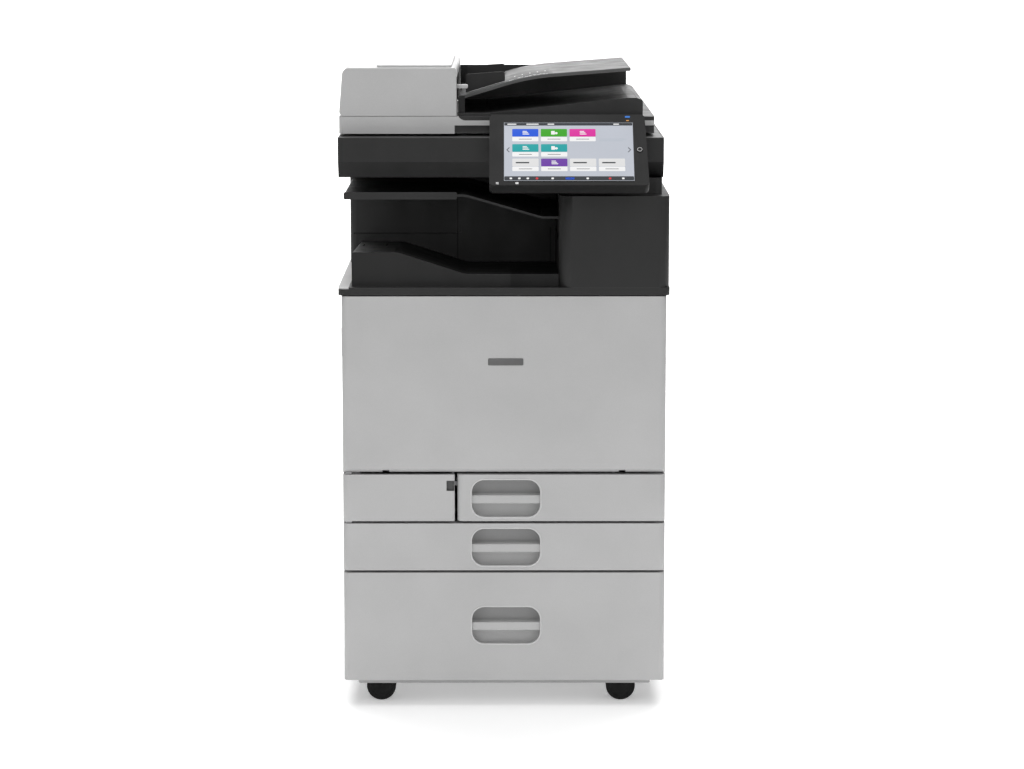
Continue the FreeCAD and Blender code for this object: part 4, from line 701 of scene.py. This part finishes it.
def marks():
    """Small symbols on the tiles: discs, frames and bars, none of them lettering."""
    white = Piece()
    low_film, high_film = film - 0.02 * MM, film + 0.06 * MM
    for i, row in ((0, "high"), (1, "high"), (2, "high"), (0, "middle"), (1, "middle"), (1, "low")):
        left, low, right, high = tile_at(i, row)
        across, up = (left + right) / 2, (low + high) / 2
        if (i + len(row)) % 2:
            white.plate(screen, across - 5 * MM, up - 4.2 * MM, across + 1.5 * MM, up + 4.2 * MM,
                        low_film, high_film, 0.8 * MM, 0.02 * MM)
            white.turned(screen, across + 4 * MM, up - 1 * MM, [
                (2.6 * MM, low_film), (2.6 * MM, high_film)], 20)
        else:
            for step in (-1, 0, 1):
                white.plate(screen, across - 5 * MM, up + step * 3.2 * MM - 0.9 * MM,
                            across + (5 - 2 * step) * MM, up + step * 3.2 * MM + 0.9 * MM,
                            low_film, high_film, 0.8 * MM, 0.02 * MM)
    for across in (12, 27, 42, 86, 148, 211):
        white.plate(screen, (across - 2.2) * MM, 3.2 * MM, (across + 2.2) * MM, 7 * MM,
                    low_film, high_film, 1 * MM, 0.02 * MM)
    for left, right in ((6, 22), (40, 62), (78, 90), (196, 206)):
        white.plate(screen, left * MM, screen_high - 5 * MM, right * MM, screen_high - 2.6 * MM,
                    low_film, high_film, 0.8 * MM, 0.02 * MM)
    white.done("screen_symbols", "panel", glow["white"], "screen_glass")
    lines = Piece()
    for left, low, right, high in captions:
        lines.plate(
            screen, left + tile_wide * 0.25, low - 6.6 * MM, left + tile_wide * 0.75, low - 5.4 * MM,
            low_film, high_film, 0.6 * MM, 0.02 * MM,
        )
    for left in (column[0], column[2], column[3]):
        lines.plate(screen, left + 6 * MM, row_base["low"] + 7 * MM, left + 30 * MM,
                    row_base["low"] + 10 * MM, low_film, high_film, 0.6 * MM, 0.02 * MM)
    lines.done("screen_caption_bars", "panel", glow["slate"], "screen_glass")
    arrows = Piece()
    for across, way in ((7.3 * MM, -1), (screen_wide - 7.3 * MM, 1)):
        for side in (-1, 1):
            tip = screen.at(across + way * 2.2 * MM, 71.5 * MM)
            tail = screen.at(across - way * 2.2 * MM, 71.5 * MM + side * 5.5 * MM)
            along = (tail - tip).normalized()
            stroke = Plane(tip, along, screen.out.cross(along))
            arrows.plate(stroke, -0.5 * MM, -0.7 * MM, (tail - tip).length, 0.7 * MM,
                         -0.02 * MM, film, 0.6 * MM, 0.02 * MM)
    arrows.done("screen_page_arrows", "panel", glow["slate"], "screen_glass")
    tiles("blue", [(108.5 * MM, 2.4 * MM, 124.5 * MM, 8 * MM)], "home_key")
    red = Piece()
    for across in (58.3, 187.6):
        red.turned(screen, across * MM, 5 * MM, [(2.4 * MM, low_film), (2.4 * MM, high_film)], 20)
    red.done("screen_stop_marks", "panel", glow["red"], "screen_glass")
    band = Piece()
    for left, low, right, high in (
        (column[3] + 2 * MM, 92 * MM, column[3] + 44 * MM, 93.2 * MM),
        (column[3] + 2 * MM, 96 * MM, column[3] + 50 * MM, 97.2 * MM),
    ):
        band.plate(screen, left, low, right, high, -0.02 * MM, film, 0.5 * MM, 0.02 * MM)
    band.done("screen_wallpaper_lines", "panel", glow["sheen"], "screen_glass")


marks()

face_out = 0.1 * MM
led_blue = lit("led_blue", (0.05, 0.22, 0.7, 1), 1.0)
led_amber = lit("led_amber", (0.95, 0.45, 0.12, 1), 0.8)
print_white = plastic("print_white", grey(205), rough=0.4, wear_and_highlight=1.0)
border = Piece()
border.ring(screen, -1.1 * MM, -1.1 * MM, screen_wide + 1.1 * MM, screen_high + 1.1 * MM,
            2 * MM, 0.5 * MM, face_out - 0.2 * MM)
border.done("screen_border", "panel", case_black, "case_dark")
Piece().plate(
    screen, screen_wide - 13.5 * MM, screen_high + 11.5 * MM, screen_wide - 4.5 * MM,
    screen_high + 15.5 * MM, face_out - 0.3 * MM, face_out + 0.25 * MM, 1.2 * MM, 0.2 * MM,
).done("panel_status_light", "panel", led_blue, "screen_glass")
Piece().plate(
    screen, screen_wide - 11.5 * MM, screen_high + 3.6 * MM, screen_wide - 6.5 * MM,
    screen_high + 5.8 * MM, face_out - 0.3 * MM, face_out + 0.2 * MM, 0.8 * MM, 0.15 * MM,
).done("panel_alert_light", "panel", led_amber, "screen_glass")
printed = Piece()
for left, low, right, high in (
    (-14.5, -8.2, -9.5, -6.6), (-14.5, -5.4, -9.5, -3.8), (20, -8.2, 25.5, -3.8),
):
    printed.plate(screen, left * MM, low * MM, right * MM, high * MM,
                  face_out - 0.05 * MM, face_out + 0.06 * MM, 0.5 * MM, 0.03 * MM)
printed.done("panel_reader_marks", "panel", print_white, "case_grey")

key_low, key_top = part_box("home_button")
key_across = (key_low.x + key_top.x) / 2 - screen_low.x
key_up = 71.4 * MM
Piece().ring(
    screen, key_across - 4.1 * MM, key_up - 4.1 * MM, key_across + 4.1 * MM, key_up + 4.1 * MM,
    4.1 * MM, 0.45 * MM, face_out + 0.95 * MM,
).done("home_button_ring", "home_button", print_white, "case_grey")


# ---- document feeder ---------------------------------------------------------------------------

TRAY_START_RISE, TRAY_BEND, TRAY_ROUND = 34 * MM, (45 * MM, 72 * MM), 400 * MM
tray_start = (tray_low.x, feeder_deck + TRAY_START_RISE)
tray_end = (tray_top.x, tray_top.z)
bend = (TRAY_BEND[0], feeder_deck + TRAY_BEND[1])
steep = math.atan2(bend[1] - tray_start[1], bend[0] - tray_start[0])
gentle = math.atan2(tray_end[1] - bend[1], tray_end[0] - bend[0])
run_in = TRAY_ROUND * math.tan((steep - gentle) / 2)
centre_x = bend[0] - run_in * math.cos(steep) + TRAY_ROUND * math.sin(steep)
centre_z = bend[1] - run_in * math.sin(steep) - TRAY_ROUND * math.cos(steep)


def tray_spot(x):
    """A plane that lies on the tray's curved stretch at x."""
    z = centre_z + math.sqrt(TRAY_ROUND ** 2 - (x - centre_x) ** 2)
    fall = math.asin((centre_x - x) / TRAY_ROUND)
    return Plane((x, 0, z), (math.cos(fall), 0, math.sin(fall)), Y)


size_marks = Piece()
for x, y, length in (
    (13, -152, 9), (44, -152, 12), (60, -152, 12), (76, -152, 9), (30, -134, 10), (52, -134, 12),
    (70, -134, 10), (20, -60, 2), (34, -60, 2), (48, -60, 2), (62, -60, 2), (76, -60, 2),
):
    deep = 12 if length == 2 else 3
    size_marks.plate(
        tray_spot(x * MM), -length / 2 * MM, y * MM, length / 2 * MM, (y + deep) * MM,
        -0.1 * MM, 0.16 * MM, 0.5 * MM, 0.05 * MM,
    )
size_marks.done("input_tray_size_marks", "input_tray", print_white, "case_grey")

nub = Plane((0, cover_low.y + 12 * MM, 0), X, Z)
Piece().plate(
    nub, cover_top.x - 2 * MM, cover_low.z + 49 * MM, cover_top.x + 20 * MM, cover_low.z + 56 * MM,
    -8 * MM, 2 * MM, 2.5 * MM, 1 * MM,
).done("feeder_cover_nub", "feeder_cover", case, "case_grey")

STRIP_PLACE, STRIP_RISE = 244 * MM, 70 * MM
wall_back = Plane((0, STRIP_PLACE, 0), X, Z)
Piece().plate(
    wall_back, cover_top.x + 0.3 * MM, feeder_deck, cover_top.x + 2.5 * MM, band_top + STRIP_RISE,
    -2 * MM, 2 * MM, 0.4 * MM, 0.3 * MM,
).done("feeder_wall_strip", "feeder", case_black, "case_dark")


# ---- casters -----------------------------------------------------------------------------------

for corner in CORNERS:
    wheel_low, wheel_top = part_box(corner + "_caster_wheel")
    middle = (wheel_low + wheel_top) / 2
    hub = Piece()
    for y, direction in ((wheel_low.y, -X), (wheel_top.y, X)):
        across = X if direction == -X else -X
        cap = Plane((middle.x, y, middle.z), across, Z)
        hub.turned(cap, 0, 0, [
            (16 * MM, -0.8 * MM), (16 * MM, 0.2 * MM), (14.5 * MM, 0.7 * MM), (12 * MM, 0.3 * MM),
            (6 * MM, 0.1 * MM), (5 * MM, 0.9 * MM), (1 * MM, 1.1 * MM),
        ], 40)
        hub.ring(cap, -21 * MM, -21 * MM, 21 * MM, 21 * MM, 21 * MM, 0.7 * MM, 0.0)
    hub.done(corner + "_caster_hub", corner + "_wheel", caster_plastic, "caster_black")


# ---- paper drawers -----------------------------------------------------------------------------

FENCE_ROOM = 4.5 * MM
FENCE_HALF = 1.2 * MM
for row in ("upper", "middle", "lower"):
    low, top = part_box(row + "_drawer_tub")
    plate_low, plate_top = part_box(row + "_lift_plate")
    base = low.z + 2.8 * MM
    height = 110 * MM if row == "lower" else min(top.z - base - 12 * MM, 44 * MM)
    middle_x = (plate_low.x + plate_top.x) / 2
    middle_y = (low.y + top.y) / 2
    fences = Piece()
    for y in (low.y + FENCE_ROOM, top.y - FENCE_ROOM):
        wall = Plane((0, y, 0), X, Z)
        fences.plate(
            wall, middle_x - 55 * MM, base, middle_x + 55 * MM, base + height,
            -FENCE_HALF, FENCE_HALF, 5 * MM, 0.8 * MM,
        )
        fences.plate(
            wall, middle_x - 18 * MM, base + height - 9 * MM, middle_x + 18 * MM, base + height - 2 * MM,
            -1.6 * MM, 1.6 * MM, 2 * MM, 0.4 * MM,
        )
    stop = Plane((plate_low.x - 3 * MM, 0, 0), Y, Z)
    fences.plate(
        stop, middle_y - 45 * MM, base, middle_y + 45 * MM, base + height,
        -FENCE_HALF, FENCE_HALF, 5 * MM, 0.8 * MM,
    )
    fences.done(row + "_drawer_fences", row + "_drawer", guide_blue, "guide_dark")


# ---- rear and sides ----------------------------------------------------------------------------

rear_low, rear_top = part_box("rear_cover")
back = back_of("rear_cover")
screws = Piece()
rear_heights = (
    rear_low.z + 16 * MM, rear_low.z + 240 * MM, rear_low.z + 470 * MM, rear_top.z - 14 * MM,
)
for across in (-rear_top.x + 14 * MM, 0.0, rear_top.x - 14 * MM):
    for height in rear_heights:
        screws.screw(back, across, height, 4 * MM)
screws.done("rear_cover_screws", "machine", bright_steel, "steel_sheet")

label_finish = plastic("blank_label", grey(214), rough=0.3, specular=0.5, depth=0.00001, wear_and_highlight=1.0)
Piece().plate(
    back, -150 * MM, rear_low.z + 60 * MM, -60 * MM, rear_low.z + 100 * MM,
    -0.1 * MM, 0.2 * MM, 2 * MM, 0.1 * MM,
).done("rear_blank_plate", "machine", label_finish, "case_grey")

ribs = Piece()
for height in (0.3, 0.55):
    z = rear_low.z + height * (rear_top.z - rear_low.z)
    ribs.plate(
        back, rear_low.x + 30 * MM, z, rear_top.x - 30 * MM, z + 3 * MM,
        -0.2 * MM, 0.7 * MM, 1.4 * MM, 0.6 * MM,
    )
ribs.done("rear_cover_ribs", "machine", case, "case_grey")

tower_back = back_of("exit_tower")
tower_screws = Piece()
for across in (-tower_top.x + 16 * MM, 0.0, -tower_low.x - 16 * MM):
    tower_screws.screw(tower_back, across, tower_low.z + 14 * MM, 3.6 * MM)
    tower_screws.screw(tower_back, across, tower_top.z - 14 * MM, 3.6 * MM)
tower_screws.done("tower_screws", "machine", bright_steel, "steel_sheet")

left_low, left_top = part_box("left_cover")
left = Plane((left_low.x, 0, 0), -Y, Z)
right_low, right_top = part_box("right_cover")
right = Plane((right_top.x, 0, 0), Y, Z)
side_screws = Piece()
for y in (left_low.y + 18 * MM, left_top.y - 18 * MM):
    for z in (left_low.z + 20 * MM, left_low.z + 330 * MM, left_top.z - 20 * MM):
        side_screws.screw(left, -y, z, 3.6 * MM)
for y in (right_low.y + 18 * MM, right_top.y - 18 * MM):
    for z in (right_low.z + 20 * MM, right_top.z - 20 * MM):
        side_screws.screw(right, y, z, 3.6 * MM)
side_screws.done("side_cover_screws", "machine", bright_steel, "steel_sheet")


# ---- floor, light and camera -------------------------------------------------------------------


def studio():
    """A pale floor that sweeps up behind the object, five soft lights and a dim surround."""
    floor = Finish("studio_floor", Roughness=0.85, Specular_IOR_Level=0.2)
    cloud = floor.spread(floor.noise(1.2, 3.0), 0, 1)
    floor.drive("Base Color", floor.mixed(cloud, grey(240), grey(244)))
    floor.bump(floor.noise(300.0, 2.0), 0.0002, 0.3)
    floor.shader.inputs["Emission Color"].default_value = (1, 1, 1, 1)
    floor.shader.inputs["Emission Strength"].default_value = 0.3
    half_wide, near, bend, radius, high = 9.0, -2.2, 5.0, 2.0, 9.0
    profile = [(near, 0.0), (bend, 0.0)]
    for i in range(1, 17):
        turn = math.radians(90 * i / 16)
        profile.append((bend + radius * math.sin(turn), radius * (1 - math.cos(turn))))
    profile.append((bend + radius, high))
    sweep = bmesh.new()
    rows = [
        [sweep.verts.new((x, y, z)) for y, z in profile] for x in (-half_wide, half_wide)
    ]
    for i in range(len(profile) - 1):
        face = sweep.faces.new((rows[0][i], rows[1][i], rows[1][i + 1], rows[0][i + 1]))
        face.smooth = True
    data = bpy.data.meshes.new("studio_sweep")
    sweep.to_mesh(data)
    sweep.free()
    data.materials.append(floor.material)
    stage = bpy.data.objects.new("studio_sweep", data)
    bpy.context.scene.collection.objects.link(stage)

    middle = (cad_box[0] + cad_box[1]) / 2
    for name, spot, size, power in (
        ("key_light", (-2.6, -4.2, 3.4), 2.6, 47),
        ("fill_light", (3.0, -4.0, 2.4), 2.8, 30),
        ("front_light", (0.0, -6.6, 1.2), 2.4, 42),
        ("top_light", (0.0, -0.4, 4.6), 4.0, 112),
        ("backdrop_light", (0.0, 3.2, 5.2), 5.0, 420),
    ):
        lamp = bpy.data.lights.new(name, "AREA")
        lamp.shape = "SQUARE"
        lamp.size = size
        lamp.energy = power
        holder = bpy.data.objects.new(name, lamp)
        holder.location = spot
        aim = Vector((0, 5.2, 1.0)) if name == "backdrop_light" else middle
        holder.rotation_euler = (aim - holder.location).to_track_quat("-Z", "Y").to_euler()
        bpy.context.scene.collection.objects.link(holder)

    world = bpy.data.worlds.new("studio")
    world.use_nodes = True
    world.node_tree.nodes["Background"].inputs[0].default_value = (1, 1, 1, 1)
    world.node_tree.nodes["Background"].inputs[1].default_value = 0.25
    bpy.context.scene.world = world
    bpy.context.scene.view_settings.view_transform = "Standard"


def camera():
    """Eye a little above the object, 5.5 m in front of it, tilted down."""
    data = bpy.data.cameras.new("camera")
    data.sensor_width = 36
    data.lens = 108.1
    holder = bpy.data.objects.new("camera", data)
    eye_height, distance, tilt, turn = 1.45, 5.5, 8.79, 0.15
    holder.location = (0, door_low.y - distance, eye_height)
    holder.rotation_euler = (math.radians(90 - tilt), 0, math.radians(-turn))
    bpy.context.scene.collection.objects.link(holder)
    bpy.context.scene.camera = holder


studio()
camera()
